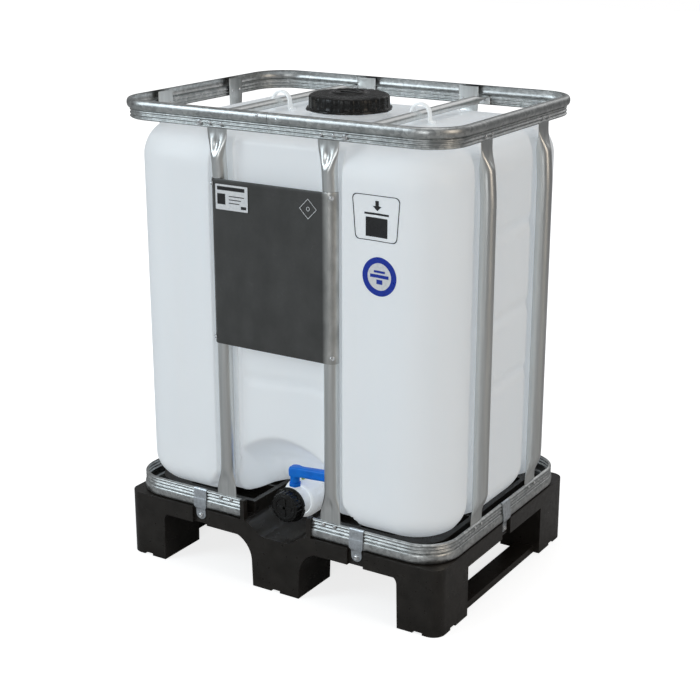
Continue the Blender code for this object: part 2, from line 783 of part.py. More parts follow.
def valve_housing():
    """Valve body with its stem boss, the union nut and the outlet gasket."""
    profile = [
        (CAVITY_RADIUS, 0.1750),
        (0.0375, 0.1750),
        (0.0375, 0.1810),
        (0.0325, 0.1825),
        (0.0325, 0.2350),
        (0.0310, 0.2365),
        (0.0310, 0.2577),
        (0.0165, 0.2577),
        (0.0165, 0.2465),
        (CAVITY_RADIUS, 0.2465),
    ]
    body = solid("valve_body", *turned(profile, 20), VALVE, forward())
    lift = Matrix.Translation((0, -STEM_FORWARD, 0))
    boss = [(0, 0.2120), (0.0125, 0.2120), (0.0125, 0.2200), (0, 0.2200)]
    combine(body, solid("valve_boss", *turned(boss, 12), VALVE, lift), "UNION")
    hole = [(0, 0.2000), (0.0068, 0.2000), (0.0068, 0.2165), (0.0096, 0.2165), (0.0096, 0.2300), (0, 0.2300)]
    combine(body, solid("valve_stem_hole", *turned(hole, 12), VALVE, lift), "DIFFERENCE")
    nut = [
        (SPOUT_RADIUS + 0.0008, 0.1605),
        (0.0400, 0.1605),
        (0.0440, 0.1680),
        (0.0440, 0.1960),
        (0.0400, 0.2055),
        (0.0334, 0.2075),
        (0.0334, 0.1830),
        (0.0382, 0.1820),
        (0.0382, 0.1735),
        (SPOUT_RADIUS + 0.0008, 0.1735),
    ]
    solid("union_nut", *turned(nut, 20), VALVE, forward())
    solid("outlet_gasket", *turned(ring_profile(0.0280, 0.0335, 0.1723, 0.1747), 16), SEAL, forward())


def valve_inside():
    """Ball with its bore and slot, two seats and the retainer that holds them."""
    arc = []
    edge = 90 - atan2(BALL_BORE, (BALL_RADIUS**2 - BALL_BORE**2) ** 0.5) * 180 / pi
    for step in range(7):
        angle = radians(-edge + 2 * edge * step / 6)
        arc.append((BALL_RADIUS * cos(angle), BALL_RADIUS * sin(angle)))
    place = Matrix.Translation((0, -STEM_FORWARD, VALVE_Z)) @ Matrix.Rotation(pi / 2, 4, "Y")
    ball = solid("valve_ball", *turned(arc, 16), SEAT, place)
    top = VALVE_Z + BALL_RADIUS
    low = -STEM_FORWARD - 0.0028
    high = -STEM_FORWARD + 0.0028
    slot = box_points((-0.012, low, top - 0.0045), (0.012, high, top + 0.01))
    combine(ball, solid("valve_ball_slot", *slot, SEAT), "DIFFERENCE")
    near = (BALL_RADIUS**2 - SEAT_HOLE**2) ** 0.5 + 0.0004
    front = ring_profile(SEAT_HOLE, 0.0250, STEM_FORWARD + near, 0.2462)
    solid("seat_front", *turned(front, 16), SEAT, forward())
    rear = ring_profile(SEAT_HOLE, 0.0250, 0.1938, STEM_FORWARD - near)
    solid("seat_rear", *turned(rear, 16), SEAT, forward())
    solid("seat_retainer", *turned(ring_profile(SEAT_HOLE, 0.0250, 0.1790, 0.1935), 16), VALVE, forward())


def valve_drive():
    """Stem with its tongue, o-ring and nut, and the lever handle, closed at rest and pointing along +X."""
    place = Matrix.Translation((0, -STEM_FORWARD, 0))
    top = VALVE_Z + BALL_RADIUS
    rod = [(0, top + GAP), (0.0065, top + GAP), (0.0065, 0.2620), (0, 0.2620)]
    stem = solid("valve_stem", *turned(rod, 12), SEAT, place)
    tongue = box_points((-0.0060, -0.0022, top - 0.0035), (0.0060, 0.0022, top + 0.002))
    combine(stem, solid("valve_tongue", *tongue, SEAT, place), "UNION")
    solid("stem_oring", *turned(ring_profile(0.0069, 0.0092, 0.2168, 0.2197), 12), SEAL, place)
    solid("stem_nut", *turned(ring_profile(0.0080, 0.0138, 0.2203, 0.2285), 6), BLUE, place)
    loops = []
    for x, half, low, high in (
        (-0.0120, 0.0060, 0.2450, 0.2600),
        (-0.0080, 0.0105, 0.2420, 0.2655),
        (0.0100, 0.0115, 0.2420, 0.2665),
        (0.0550, 0.0110, 0.2455, 0.2695),
        (0.0900, 0.0105, 0.2490, 0.2715),
        (0.0970, 0.0060, 0.2520, 0.2690),
    ):
        soft = 0.0055
        section = rounded((0, (low + high) / 2), half, (high - low) / 2, min(soft, half * 0.8), 1)
        loops.append([(x, y, z) for y, z in section])
    handle = solid("valve_handle", *loft(loops), BLUE, place)
    profile = [(0, 0.2290), (0.0105, 0.2290), (0.0105, 0.2500), (0, 0.2500)]
    hub = solid("valve_hub", *turned(profile, 12), BLUE, place)
    combine(handle, hub, "UNION")
    bore = [(0, 0.2200), (0.0069, 0.2200), (0.0069, 0.2625), (0, 0.2625)]
    combine(handle, solid("valve_handle_bore", *turned(bore, 12), BLUE, place), "DIFFERENCE")


def valve_cap():
    """Dust cap with its rear flange, its sealing disc, and the small screw on the union nut."""
    cup = [
        (0, 0.2635),
        (0.0310, 0.2635),
        (0.0335, 0.2610),
        (0.0335, 0.2415),
        (0.0390, 0.2410),
        (0.0390, 0.2385),
        (0.0317, 0.2385),
        (0.0317, 0.2602),
        (0, 0.2602),
    ]
    solid("valve_cap", *turned(cup, 20), BLACK, forward())
    profile = [(0, 0.2580), (0.0300, 0.2580), (0.0300, 0.2599), (0, 0.2599)]
    solid("cap_gasket", *turned(profile, 16), SEAL, forward())
    head = (0.0042, 0.0040, 0.0020)
    bolt("transit_screw", head, 0.0, Matrix.Translation((0.004, -0.1950, VALVE_Z + 0.044 + GAP)), YELLOW)


def clear():
    """An empty scene."""
    for item in list(bpy.data.objects):
        bpy.data.objects.remove(item, do_unlink=True)


def main():
    clear()
    pallet()
    section = band_section(*BOTTOM_BAND, 0.0020, False)
    band("bottom_ring", section, OUTLET_GAP)
    top = band("top_ring", band_section(*TOP_BAND, 0.0060, True), 0.0)
    uprights()
    for drill in crossbars():
        combine(top, drill, "DIFFERENCE")
    crossbar_bolts()
    clips()
    clamps()
    label_plate()
    tank()
    lid()
    valve_housing()
    valve_inside()
    valve_drive()
    valve_cap()


main()
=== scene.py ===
from math import atan2, copysign, cos, exp, pi, radians, sin, sqrt

import bmesh
import bpy
from mathutils import Matrix, Vector


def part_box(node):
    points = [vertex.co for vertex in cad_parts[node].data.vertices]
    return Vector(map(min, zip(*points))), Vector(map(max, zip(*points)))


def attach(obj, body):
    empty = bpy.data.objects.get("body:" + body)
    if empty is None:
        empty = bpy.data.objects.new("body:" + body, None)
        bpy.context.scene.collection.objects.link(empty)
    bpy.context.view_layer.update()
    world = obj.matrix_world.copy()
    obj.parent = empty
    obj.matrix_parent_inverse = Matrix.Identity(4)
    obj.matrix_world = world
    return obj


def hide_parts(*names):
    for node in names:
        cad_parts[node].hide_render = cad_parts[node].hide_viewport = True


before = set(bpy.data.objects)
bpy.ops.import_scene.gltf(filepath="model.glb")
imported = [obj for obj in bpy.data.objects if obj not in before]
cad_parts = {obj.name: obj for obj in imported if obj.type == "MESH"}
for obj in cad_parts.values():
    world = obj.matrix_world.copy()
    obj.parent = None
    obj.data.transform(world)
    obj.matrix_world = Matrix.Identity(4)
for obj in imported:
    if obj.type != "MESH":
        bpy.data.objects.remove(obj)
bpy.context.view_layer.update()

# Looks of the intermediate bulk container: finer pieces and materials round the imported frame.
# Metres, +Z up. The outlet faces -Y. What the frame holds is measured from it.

GAP = 0.0003


def lowest(node):
    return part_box(node)[0]


def highest(node):
    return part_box(node)[1]


def middle(node):
    low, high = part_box(node)
    return (low + high) / 2


# Pallet
LENGTH = 0.8
WIDTH = 0.6
DECK_TOP = lowest("bottom_ring").z - GAP
DECK_BOTTOM = DECK_TOP - 0.037
DECK_SKIN = 0.006
PLATEAU_TOP = 0.1777
FOOT = 0.1
FOOT_DEPTH = 0.125
MIDDLE_FOOT = 0.123
RUNNER_HEIGHT = 0.016

# Bands
BULGE = 0.006
LOW_BULGE = 0.002
BAND_X = highest("top_ring").x - BULGE
BAND_Y = highest("top_ring").y - BULGE
BAND_RADIUS = 0.08
BAND_SHEET = 0.0018
BOTTOM_BAND = (lowest("bottom_ring").z, highest("bottom_ring").z)
TOP_BAND = (lowest("top_ring").z, highest("top_ring").z)
OUTLET_GAP = 0.091
SEAM = -0.0035

# Upright tubes
TUBE_RADIUS = 0.016
TUBE_WALL = 0.0015
TUBE_FLAT = (highest("upright_front_right").x - lowest("upright_front_right").x) / 2
TUBE_X = middle("upright_front_right").x
TUBE_Y = middle("upright_right_rear").y
TUBE_AXIS_Y = -lowest("upright_front_right").y - TUBE_RADIUS
TUBE_AXIS_X = highest("upright_right_rear").x - TUBE_RADIUS
TUBE_END = 0.00585
TUBE_LOW = lowest("upright_front_right").z
TUBE_HIGH = highest("upright_front_right").z
LOW_TAPER = (0.2, 0.262)
HIGH_TAPER = (0.925, 0.985)
LEAN_FROM = 0.855

# Crossbars
BAR_X = middle("crossbar_right").x
BAR_Z = 1.004
BAR_RADIUS = 0.0095
BAR_BOLT_Z = middle("crossbar_bolt_front_left").z

# Clamps
CLAMP_X = middle("clamp_front_right").x
CLAMP_NAMES = ("front_left", "front_right", "rear_right", "rear_left", "left", "right")
SCREW_Z = middle("clamp_screw_left").z

# Label plate
PLATE_LOW = lowest("label_plate").z
PLATE_HIGH = highest("label_plate").z
PLATE_SHEET = 0.001
PLATE_REACH = TUBE_RADIUS + GAP + 0.0007

# Tank
TANK_X = highest("tank").x
TANK_Y = highest("tank").y
TANK_BOTTOM = PLATEAU_TOP + GAP
TANK_TOP = 0.985
NECK_TOP = highest("tank").z
TANK_CORNER = 0.11
TIGHT_CORNER = 0.02
TANK_WALL = 0.003
SHOULDER = 0.078
BOTTOM_EDGE = 0.06
GROOVE_DEPTH = 0.0275
SIDE_GROOVE = 0.018
GROOVE_HALF = 0.029
SIDE_GROOVE_HALF = 0.036
GROOVE_SLOPE = 0.012
SIDE_GROOVE_SLOPE = 0.026
PANEL_DEPTH = 0.024
NICHE_DEPTH = 0.103
NICHE_HALF = 0.15
NICHE_SLOPE = 0.075
NICHE_TOP = 0.343
NICHE_FALL = 0.045
NICHE_RISE = 0.088
NICHE_ARCH = 0.115
VALLEYS = (0.464, 0.607, 0.787)
VALLEY_DEPTH = 0.0042
VALLEY_HALF = 0.021
VALLEY_FRONT = 0.121
VALLEY_SIDE = 0.182
VALLEY_FADE = 0.045
DISH_DEPTH = 0.0028
FLARE = 0.03
NECK_RADIUS = 0.078

# Outlet
VALVE_Z = middle("valve_cap").z
STEM_FORWARD = -middle("valve_stem").y
BALL_RADIUS = 0.024
BALL_BORE = 0.016

# Camera
CAMERA = (1.654, -2.641, 1.466)
CAMERA_TURN = 32.03
CAMERA_PITCH = 17.78
LENS = 75.67


# Mesh tools


def loft(loops, ring=False):
    """Points and faces through loops of equal length, capped at both ends or joined into a ring."""
    count = len(loops[0])
    verts = [point for loop in loops for point in loop]
    spans = len(loops) if ring else len(loops) - 1
    faces = []
    for span in range(spans):
        here = span * count
        there = (span + 1) % len(loops) * count
        for i in range(count):
            j = (i + 1) % count
            faces.append((here + i, here + j, there + j, there + i))
    if not ring:
        last = (len(loops) - 1) * count
        faces.append(tuple(range(count)))
        faces.append(tuple(range(last, last + count)))
    return verts, faces


def turned(profile, steps, shape=None):
    """A closed (radius, height) outline turned about Z; shape may move a point by its place and angle."""
    loops = []
    for step in range(steps):
        angle = 2 * pi * step / steps
        loop = []
        for index, (radius, height) in enumerate(profile):
            if shape is not None and radius > 0:
                radius, height = shape(index, radius, height, angle)
            loop.append((radius * cos(angle), radius * sin(angle), height))
        loops.append(loop)
    return loft(loops, ring=True)


def prism(outline, low, high):
    """A flat outline raised along Z."""
    return loft([[(x, y, low) for x, y in outline], [(x, y, high) for x, y in outline]])


def box_points(low, high):
    """A box between two corners."""
    outline = [(low[0], low[1]), (high[0], low[1]), (high[0], high[1]), (low[0], high[1])]
    return prism(outline, low[2], high[2])


def moved(shape, place):
    """A shape put in another place."""
    verts, faces = shape
    return [tuple(place @ Vector(vert)) for vert in verts], faces


def together(*shapes):
    """Several shapes as one, each still its own body."""
    verts = []
    faces = []
    for shape_verts, shape_faces in shapes:
        start = len(verts)
        verts.extend(shape_verts)
        faces.extend(tuple(start + index for index in face) for face in shape_faces)
    return verts, faces


def rounded(centre, half_x, half_y, radius, steps):
    """A rectangle with round corners, anticlockwise."""
    points = []
    corners = ((1, 1, 0), (-1, 1, 90), (-1, -1, 180), (1, -1, 270))
    for side_x, side_y, start in corners:
        x = centre[0] + side_x * (half_x - radius)
        y = centre[1] + side_y * (half_y - radius)
        for step in range(steps + 1):
            angle = radians(start + 90 * step / steps)
            points.append((x + radius * cos(angle), y + radius * sin(angle)))
    return points


def ellipse(half_wide, half_thick, steps):
    """A closed oval, wide along its first axis."""
    angles = [2 * pi * step / steps for step in range(steps)]
    return [(half_wide * cos(angle), half_thick * sin(angle)) for angle in angles]


def softened(points, rounds=2, closed=False):
    """A polyline with its corners cut again and again, which ends in a smooth curve."""
    for _ in range(rounds):
        count = len(points)
        cut = [] if closed else [points[0]]
        for index in range(count if closed else count - 1):
            here = Vector(points[index])
            there = Vector(points[(index + 1) % count])
            cut.append(tuple(here.lerp(there, 0.25)))
            cut.append(tuple(here.lerp(there, 0.75)))
        if not closed:
            cut.append(points[-1])
        points = cut
    return points


def facing(angle, x, y, z):
    """A place turned about Z."""
    return Matrix.Translation((x, y, z)) @ Matrix.Rotation(radians(angle), 4, "Z")


def forward():
    """A place at the outlet's height whose local Z runs along -Y, from Y = 0."""
    return Matrix.Translation((0, 0, VALVE_Z)) @ Matrix.Rotation(pi / 2, 4, "X")


def soft_step(value):
    """Zero below nought, one above one, and a smooth rise between."""
    value = min(max(value, 0.0), 1.0)
    return value * value * (3 - 2 * value)


def bare(name, shape, smooth=35.0):
    """A mesh object with its coincident points made one and its faces pointing out."""
    verts, faces = shape
    work = bmesh.new()
    points = [work.verts.new(vert) for vert in verts]
    for face in faces:
        work.faces.new([points[index] for index in face])
    bmesh.ops.remove_doubles(work, verts=work.verts, dist=0.000001)
    bmesh.ops.recalc_face_normals(work, faces=work.faces)
    mesh = bpy.data.meshes.new(name)
    work.to_mesh(mesh)
    work.free()
    mesh.shade_smooth()
    mesh.set_sharp_from_angle(angle=radians(smooth))
    made = bpy.data.objects.new(name, mesh)
    bpy.context.collection.objects.link(made)
    return made


def finish_piece(made, look, nodes=(), body="root", place=None):
    """Gives a piece its material, place and body, and hides the CAD nodes it stands for."""
    made.data.materials.clear()
    made.data.materials.append(look)
    if place is not None:
        made.matrix_world = place
    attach(made, body)
    if nodes:
        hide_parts(*nodes)
    return made


def soften_edges(made, width, segments=2, angle=35.0):
    """A Bevel on the sharper edges."""
    bevel = made.modifiers.new("edges", "BEVEL")
    bevel.width = width
    bevel.segments = segments
    bevel.limit_method = "ANGLE"
    bevel.angle_limit = radians(angle)
    bevel.harden_normals = False
    return made


def piece(name, shape, look, nodes=(), body="root", place=None, smooth=35.0, edge=0.0):
    """One visible piece from points and faces."""
    made = bare(name, shape, smooth)
    if edge:
        soften_edges(made, edge, angle=smooth)
    return finish_piece(made, look, nodes, body, place)


def combine(target, shape, operation):
    """A Boolean, applied at once."""
    operand = bare(target.name + "_operand", shape)
    boolean = target.modifiers.new("shape", "BOOLEAN")
    boolean.operation = operation
    boolean.object = operand
    boolean.solver = "EXACT"
    graph = bpy.context.evaluated_depsgraph_get()
    mesh = bpy.data.meshes.new_from_object(target.evaluated_get(graph))
    target.modifiers.clear()
    target.data = mesh
    bpy.data.objects.remove(operand, do_unlink=True)


def dress(made, smooth, edge, bevel_from):
    """Smooth shading and a Bevel, after a piece's Booleans."""
    made.data.shade_smooth()
    made.data.set_sharp_from_angle(angle=radians(smooth))
    soften_edges(made, edge, 2, bevel_from)


# Materials


class Look:
    """A Principled material whose textures are laid out in the piece's own metres."""

    def __init__(self, name, roughness, metallic=0.0, **sockets):
        self.material = bpy.data.materials.new(name)
        self.material.use_nodes = True
        self.tree = self.material.node_tree
        self.shader = self.tree.nodes["Principled BSDF"]
        self.shader.inputs["Roughness"].default_value = roughness
        self.shader.inputs["Metallic"].default_value = metallic
        for socket, value in sockets.items():
            self.shader.inputs[socket.replace("_", " ")].default_value = value
        self.place = self.add("ShaderNodeTexCoord").outputs["Object"]

    def add(self, kind, inputs=None, **settings):
        """A node with its settings, and its inputs set or linked."""
        node = self.tree.nodes.new(kind)
        for key, value in settings.items():
            setattr(node, key, value)
        for key, value in (inputs or {}).items():
            if isinstance(value, bpy.types.NodeSocket):
                self.tree.links.new(value, node.inputs[key])
            else:
                node.inputs[key].default_value = value
        return node

    def stretched(self, scale):
        """The piece's coordinates, scaled by axis."""
        return self.add("ShaderNodeMapping", {"Vector": self.place, "Scale": scale}).outputs["Vector"]

    def noise(self, scale, detail=3.0, place=None):
        inputs = {"Vector": place or self.place, "Scale": scale, "Detail": detail}
        return self.add("ShaderNodeTexNoise", inputs).outputs["Fac"]

    def cells(self, scale, feature="F1", place=None):
        inputs = {"Vector": place or self.place, "Scale": scale}
        return self.add("ShaderNodeTexVoronoi", inputs, feature=feature)

    def maths(self, operation, first, second):
        return self.add("ShaderNodeMath", {0: first, 1: second}, operation=operation).outputs[0]

    def spread(self, value, low, high, to_low, to_high):
        """A value's range stretched to another."""
        inputs = {"Value": value, "From Min": low, "From Max": high, "To Min": to_low, "To Max": to_high}
        return self.add("ShaderNodeMapRange", inputs).outputs["Result"]

    def colours(self, value, *stops):
        """A colour ramp: each stop is a place and a colour."""
        ramp = self.add("ShaderNodeValToRGB", {"Fac": value})
        elements = ramp.color_ramp.elements
        for index, (at, colour) in enumerate(stops):
            element = elements[index] if index < 2 else elements.new(at)
            element.position = at
            element.color = (*colour, 1.0)
        return ramp.outputs["Color"]

    def paint(self, colour):
        self.tree.links.new(colour, self.shader.inputs["Base Color"])

    def gloss(self, value):
        self.tree.links.new(value, self.shader.inputs["Roughness"])

    def relief(self, height, distance, strength=1.0, under=None):
        """A bump, which may lie over another."""
        inputs = {"Height": height, "Distance": distance, "Strength": strength}
        if under is not None:
            inputs["Normal"] = under
        made = self.add("ShaderNodeBump", inputs).outputs["Normal"]
        self.tree.links.new(made, self.shader.inputs["Normal"])
        return made


def tank_look():
    """Milky polyethylene: soft cloudiness, faint vertical flow lines and a fine orange peel, with a faint
    painted glow that lifts its shade.
    """
    # Emission is painted light: a faint cool glow over the whole tank, which brightens its shaded parts
    # such as the niche.
    look = Look(
        "tank_plastic", 0.42, Subsurface_Weight=0.55, Subsurface_Scale=0.03,
        IOR=1.5, Specular_IOR_Level=0.4, Emission_Strength=0.14,
    )
    look.shader.inputs["Subsurface Radius"].default_value = (0.9, 1.0, 1.1)
    look.shader.inputs["Emission Color"].default_value = (0.93, 0.97, 1.0, 1.0)
    cloud = look.noise(4.0, 3.0)
    flow = look.noise(9.0, 2.0, look.stretched((3.0, 3.0, 0.35)))
    both = look.maths("ADD", look.maths("MULTIPLY", cloud, 0.6), look.maths("MULTIPLY", flow, 0.4))
    look.paint(look.colours(both, (0.3, (0.84, 0.88, 0.91)), (0.7, (0.9, 0.925, 0.94))))
    look.gloss(look.spread(look.noise(30.0, 4.0), 0.3, 0.7, 0.34, 0.46))
    wavy = look.relief(look.noise(14.0, 2.0, look.stretched((1.0, 1.0, 0.5))), 0.0016, 0.35)
    look.relief(look.noise(650.0, 2.0), 0.00015, 0.25, wavy)
    return look.material


def band_look():
    """Hot-dipped steel with its spangle, drawn along the band."""
    look = Look("galvanised_band", 0.34, 1.0)
    spangle = look.cells(150.0)
    tone = look.add("ShaderNodeSeparateColor", {"Color": spangle.outputs["Color"]}).outputs["Red"]
    cloud = look.noise(24.0, 4.0)
    mixed = look.maths("ADD", look.maths("MULTIPLY", tone, 0.45), look.maths("MULTIPLY", cloud, 0.55))
    stops = ((0.15, (0.34, 0.35, 0.35)), (0.5, (0.47, 0.48, 0.475)), (0.85, (0.66, 0.67, 0.66)))
    look.paint(look.colours(mixed, *stops))
    look.gloss(look.spread(mixed, 0.1, 0.9, 0.3, 0.42))
    look.relief(look.noise(700.0, 2.0), 0.00005, 0.35)
    return look.material


def tube_look():
    """Smoother galvanised tube with long faint streaks."""
    look = Look("galvanised_tube", 0.32, 1.0)
    streak = look.noise(60.0, 3.0, look.stretched((3.0, 3.0, 0.12)))
    look.paint(look.colours(streak, (0.25, (0.6, 0.61, 0.6)), (0.75, (0.72, 0.73, 0.72))))
    look.gloss(look.spread(streak, 0.2, 0.8, 0.28, 0.36))
    look.relief(streak, 0.00003, 0.3)
    return look.material


def zinc_look(name, base, roughness):
    """Bright zinc plate, slightly clouded and rubbed."""
    look = Look(name, roughness, 0.95)
    cloud = look.noise(160.0, 4.0)
    dark = tuple(0.72 * part for part in base)
    look.paint(look.colours(cloud, (0.3, dark), (0.65, base)))
    look.gloss(look.spread(cloud, 0.3, 0.7, roughness + 0.1, roughness - 0.06))
    look.relief(look.noise(900.0, 2.0), 0.00006, 0.4)
    return look.material


def plate_look():
    """Dark coated sheet, mottled and lightly scratched; where it curls round the right tube it turns
    lighter and more metallic, a painted reflection.
    """
    look = Look("grey_plate", 0.42, 0.35)
    mottle = look.noise(26.0, 6.0, look.stretched((1.0, 1.0, 0.6)))
    scratch = look.cells(26.0, "DISTANCE_TO_EDGE", look.stretched((1.0, 1.0, 3.5))).outputs["Distance"]
    line = look.spread(scratch, 0.0, 0.006, 0.16, 0.0)
    tone = look.maths("ADD", mottle, line)
    stops = ((0.3, (0.058, 0.058, 0.056)), (0.7, (0.08, 0.08, 0.078)), (0.95, (0.22, 0.22, 0.22)))
    coated = look.colours(tone, *stops)
    across = look.add("ShaderNodeSeparateXYZ", {"Vector": look.place}).outputs["X"]
    # The right curl's lighter steel colour is a painted reflection of the bright surround in the curved
    # sheet.
    curl = look.spread(across, TUBE_X - 0.01, TUBE_X + 0.002, 0.0, 1.0)
    steel = look.colours(mottle, (0.35, (0.36, 0.36, 0.35)), (0.65, (0.6, 0.6, 0.58)))
    mix = look.add("ShaderNodeMix", data_type="RGBA")
    look.tree.links.new(curl, mix.inputs[0])
    look.tree.links.new(coated, mix.inputs[6])
    look.tree.links.new(steel, mix.inputs[7])
    look.paint(mix.outputs[2])
    look.tree.links.new(look.spread(curl, 0.0, 1.0, 0.25, 0.95), look.shader.inputs["Metallic"])
    look.gloss(look.spread(mottle, 0.3, 0.7, 0.5, 0.36))
    look.relief(look.noise(14.0, 3.0), 0.0008, 0.25)
    return look.material


def plastic_look(name, dark, light, roughness, grain=500.0, dust=0.0, glow=0.0):
    """Moulded plastic: slight tone changes and a fine grain, with dust on top and, if given, a faint
    painted glow that brightens its shade.
    """
    look = Look(name, roughness)
    tone = look.noise(35.0, 4.0)
    if dust:
        normal = look.add("ShaderNodeNewGeometry").outputs["Normal"]
        up = look.add("ShaderNodeSeparateXYZ", {"Vector": normal})
        settled = look.spread(up.outputs["Z"], 0.4, 1.0, 0.0, dust)
        tone = look.maths("ADD", tone, look.maths("MULTIPLY", settled, look.noise(12.0, 5.0)))
    look.shader.inputs["Specular IOR Level"].default_value = 0.32
    # A glow above nought is painted light: emission in the plastic's light tone, which brightens it where
    # shade falls.
    look.shader.inputs["Emission Color"].default_value = (*light, 1.0)
    look.shader.inputs["Emission Strength"].default_value = glow
    look.paint(look.colours(tone, (0.3, dark), (0.75, light)))
    look.gloss(look.spread(look.noise(80.0, 3.0), 0.3, 0.7, roughness - 0.06, roughness + 0.08))
    look.relief(look.noise(grain, 2.0), 0.0001, 0.35)
    return look.material


def print_look(name, dark, light):
    """Printed film: nearly even, with a trace of wear."""
    look = Look(name, 0.32)
    look.paint(look.colours(look.noise(180.0, 4.0), (0.3, dark), (0.6, light)))
    look.gloss(look.spread(look.noise(60.0, 2.0), 0.3, 0.7, 0.26, 0.38))
    return look.material


def floor_look():
    """Pale matt floor, seen white as it runs into the surround, but grey as a source of light."""
    look = Look("floor", 0.9, Specular_IOR_Level=0.1)
    look.paint(look.colours(look.noise(2.0, 3.0), (0.3, (0.5, 0.5, 0.5)), (0.7, (0.53, 0.53, 0.53))))
    away = look.add("ShaderNodeVectorMath", {0: look.place}, operation="LENGTH").outputs["Value"]
    glow = look.spread(away, 0.45, 1.1, 0.78, 1.0)
    seen = look.add("ShaderNodeLightPath").outputs["Is Camera Ray"]
    look.tree.links.new(look.maths("MULTIPLY", glow, seen), look.shader.inputs["Emission Strength"])
    look.shader.inputs["Emission Color"].default_value = (1.0, 1.0, 1.0, 1.0)
    return look.material


# Tank


def valley(side, along, z):
    """Depth of the soft cross grooves in the panels between and beside the tubes."""
    reach = VALLEY_FRONT if side in ("front", "rear") else VALLEY_SIDE
    ends = soft_step((reach - abs(along)) / VALLEY_FADE)
    level = z - 0.004 * sin(18 * along)
    cut = max(soft_step(1 - abs(level - at) / VALLEY_HALF) for at in VALLEYS)
    return VALLEY_DEPTH * cut * ends


def niche(along, z):
    """Share of the niche's full depth, under an arched edge."""
    top = NICHE_TOP - NICHE_FALL * min(abs(along) / NICHE_ARCH, 1.6) ** 2
    fall = min(max((top - z) / NICHE_RISE, 0.0), 1.0)
    return soft_step(fall) ** 0.8 * soft_step((NICHE_HALF - abs(along)) / NICHE_SLOPE)


def dish(along, z):
    """A broad shallow hollow in the face of each front and rear column."""
    across = soft_step((abs(along) - 0.172) / 0.03) * soft_step((0.268 - abs(along)) / 0.035)
    return DISH_DEPTH * across * soft_step((0.905 - z) / 0.045) * soft_step((z - 0.235) / 0.06)


def wall_depth(side, along, z):
    """How far the tank's wall stands in from its flat face, at a place along one side."""
    long_side = side in ("front", "rear")
    tubes = TUBE_X if long_side else TUBE_Y
    near = abs(abs(along) - tubes)
    flare = FLARE * soft_step((0.262 - z) / 0.075) ** 2
    if long_side:
        reach = GROOVE_HALF + (flare if abs(along) > tubes else 0.0)
        depth = GROOVE_DEPTH * soft_step((reach - near) / GROOVE_SLOPE)
    else:
        reach = SIDE_GROOVE_HALF + flare
        depth = SIDE_GROOVE * soft_step((reach - near) / (SIDE_GROOVE_SLOPE + flare))
    if long_side:
        panel = PANEL_DEPTH * soft_step((tubes - GROOVE_HALF + GROOVE_SLOPE - abs(along)) / GROOVE_SLOPE)
        if side == "front":
            panel += NICHE_DEPTH * niche(along, z)
        depth = max(depth, panel) + dish(along, z)
    share = min(depth / GROOVE_DEPTH, 1.0) if abs(near) < GROOVE_HALF else 0.0
    return depth + valley(side, along, z) * (1 - share)


def spaced(half, tubes):
    """Places along one side, closer together at the tube grooves."""
    reach = GROOVE_HALF if tubes == TUBE_X else SIDE_GROOVE_HALF
    edges = (tubes - reach - 0.004, min(tubes + reach + 0.004, half - 0.006))
    places = []
    for low, high, pitch in ((0.0, edges[0], 0.006), (edges[0], edges[1], 0.0022), (edges[1], half, 0.006)):
        count = round((high - low) / pitch)
        places += [low + (high - low) * step / count for step in range(count)]
    places.append(half)
    return [-place for place in reversed(places[1:])] + places


def tank_stations():
    """Places round the tank: its side, the X or Y along that side, and the outward angle."""
    wide = spaced(TANK_X - TANK_CORNER, TUBE_X)
    deep = spaced(TANK_Y - TANK_CORNER, TUBE_Y)
    corner = [90 * step / 14 for step in range(1, 14)]
    stations = [("front", x, -90) for x in wide]
    stations += [("corner", 0, -90 + angle) for angle in corner]
    stations += [("right", y, 0) for y in deep]
    stations += [("corner", 0, angle) for angle in corner]
    stations += [("rear", x, 90) for x in reversed(wide)]
    stations += [("corner", 0, 90 + angle) for angle in corner]
    stations += [("left", y, 180) for y in reversed(deep)]
    stations += [("corner", 0, 180 + angle) for angle in corner]
    return stations


def tank_levels(arc, pitch):
    """Height and how far in the whole outline stands, up the tank's wall and over its shoulder."""
    levels = []
    for step in range(arc):
        angle = radians(90 * step / arc)
        levels.append((TANK_BOTTOM + BOTTOM_EDGE * (1 - cos(angle)), BOTTOM_EDGE * (1 - sin(angle))))
    low = TANK_BOTTOM + BOTTOM_EDGE
    high = TANK_TOP - SHOULDER
    count = round((high - low) / pitch)
    levels += [(low + (high - low) * step / count, 0.0) for step in range(count)]
    for step in range(arc + 1):
        angle = radians(90 * step / arc)
        levels.append((high + SHOULDER * sin(angle), SHOULDER * (1 - cos(angle))))
    return levels


def tank_loop(stations, z, inset, wall=0.0):
    """One loop of the tank's wall, its corners tightening as it stands in; wall moves it inwards."""
    radius = max(TANK_CORNER - inset, TIGHT_CORNER)
    core_x = TANK_X - inset - radius
    core_y = TANK_Y - inset - radius
    radius -= wall
    loop = []
    for side, along, angle in stations:
        out_x = cos(radians(angle))
        out_y = sin(radians(angle))
        depth = 0.0 if side == "corner" else wall_depth(side, along, z)
        back = depth if z < NICHE_TOP else max(depth - inset, 0.0)
        if side == "corner":
            x = copysign(core_x, out_x) + radius * out_x
            y = copysign(core_y, out_y) + radius * out_y
        elif side in ("front", "rear"):
            x = along * core_x / (TANK_X - TANK_CORNER)
            y = copysign(core_y + radius - back, out_y)
        else:
            x = copysign(core_x + radius - back, out_x)
            y = along * core_y / (TANK_Y - TANK_CORNER)
        loop.append((x, y, z))
    return loop


def neck_loop(outline, radius, z):
    """A round loop whose points face those of an outline."""
    angles = [atan2(y, x) for x, y, _ in outline]
    return [(radius * cos(angle), radius * sin(angle), z) for angle in angles]


def between(first, last, share, z):
    """A loop part of the way from one to another."""
    return [(a[0] + (b[0] - a[0]) * share, a[1] + (b[1] - a[1]) * share, z) for a, b in zip(first, last)]


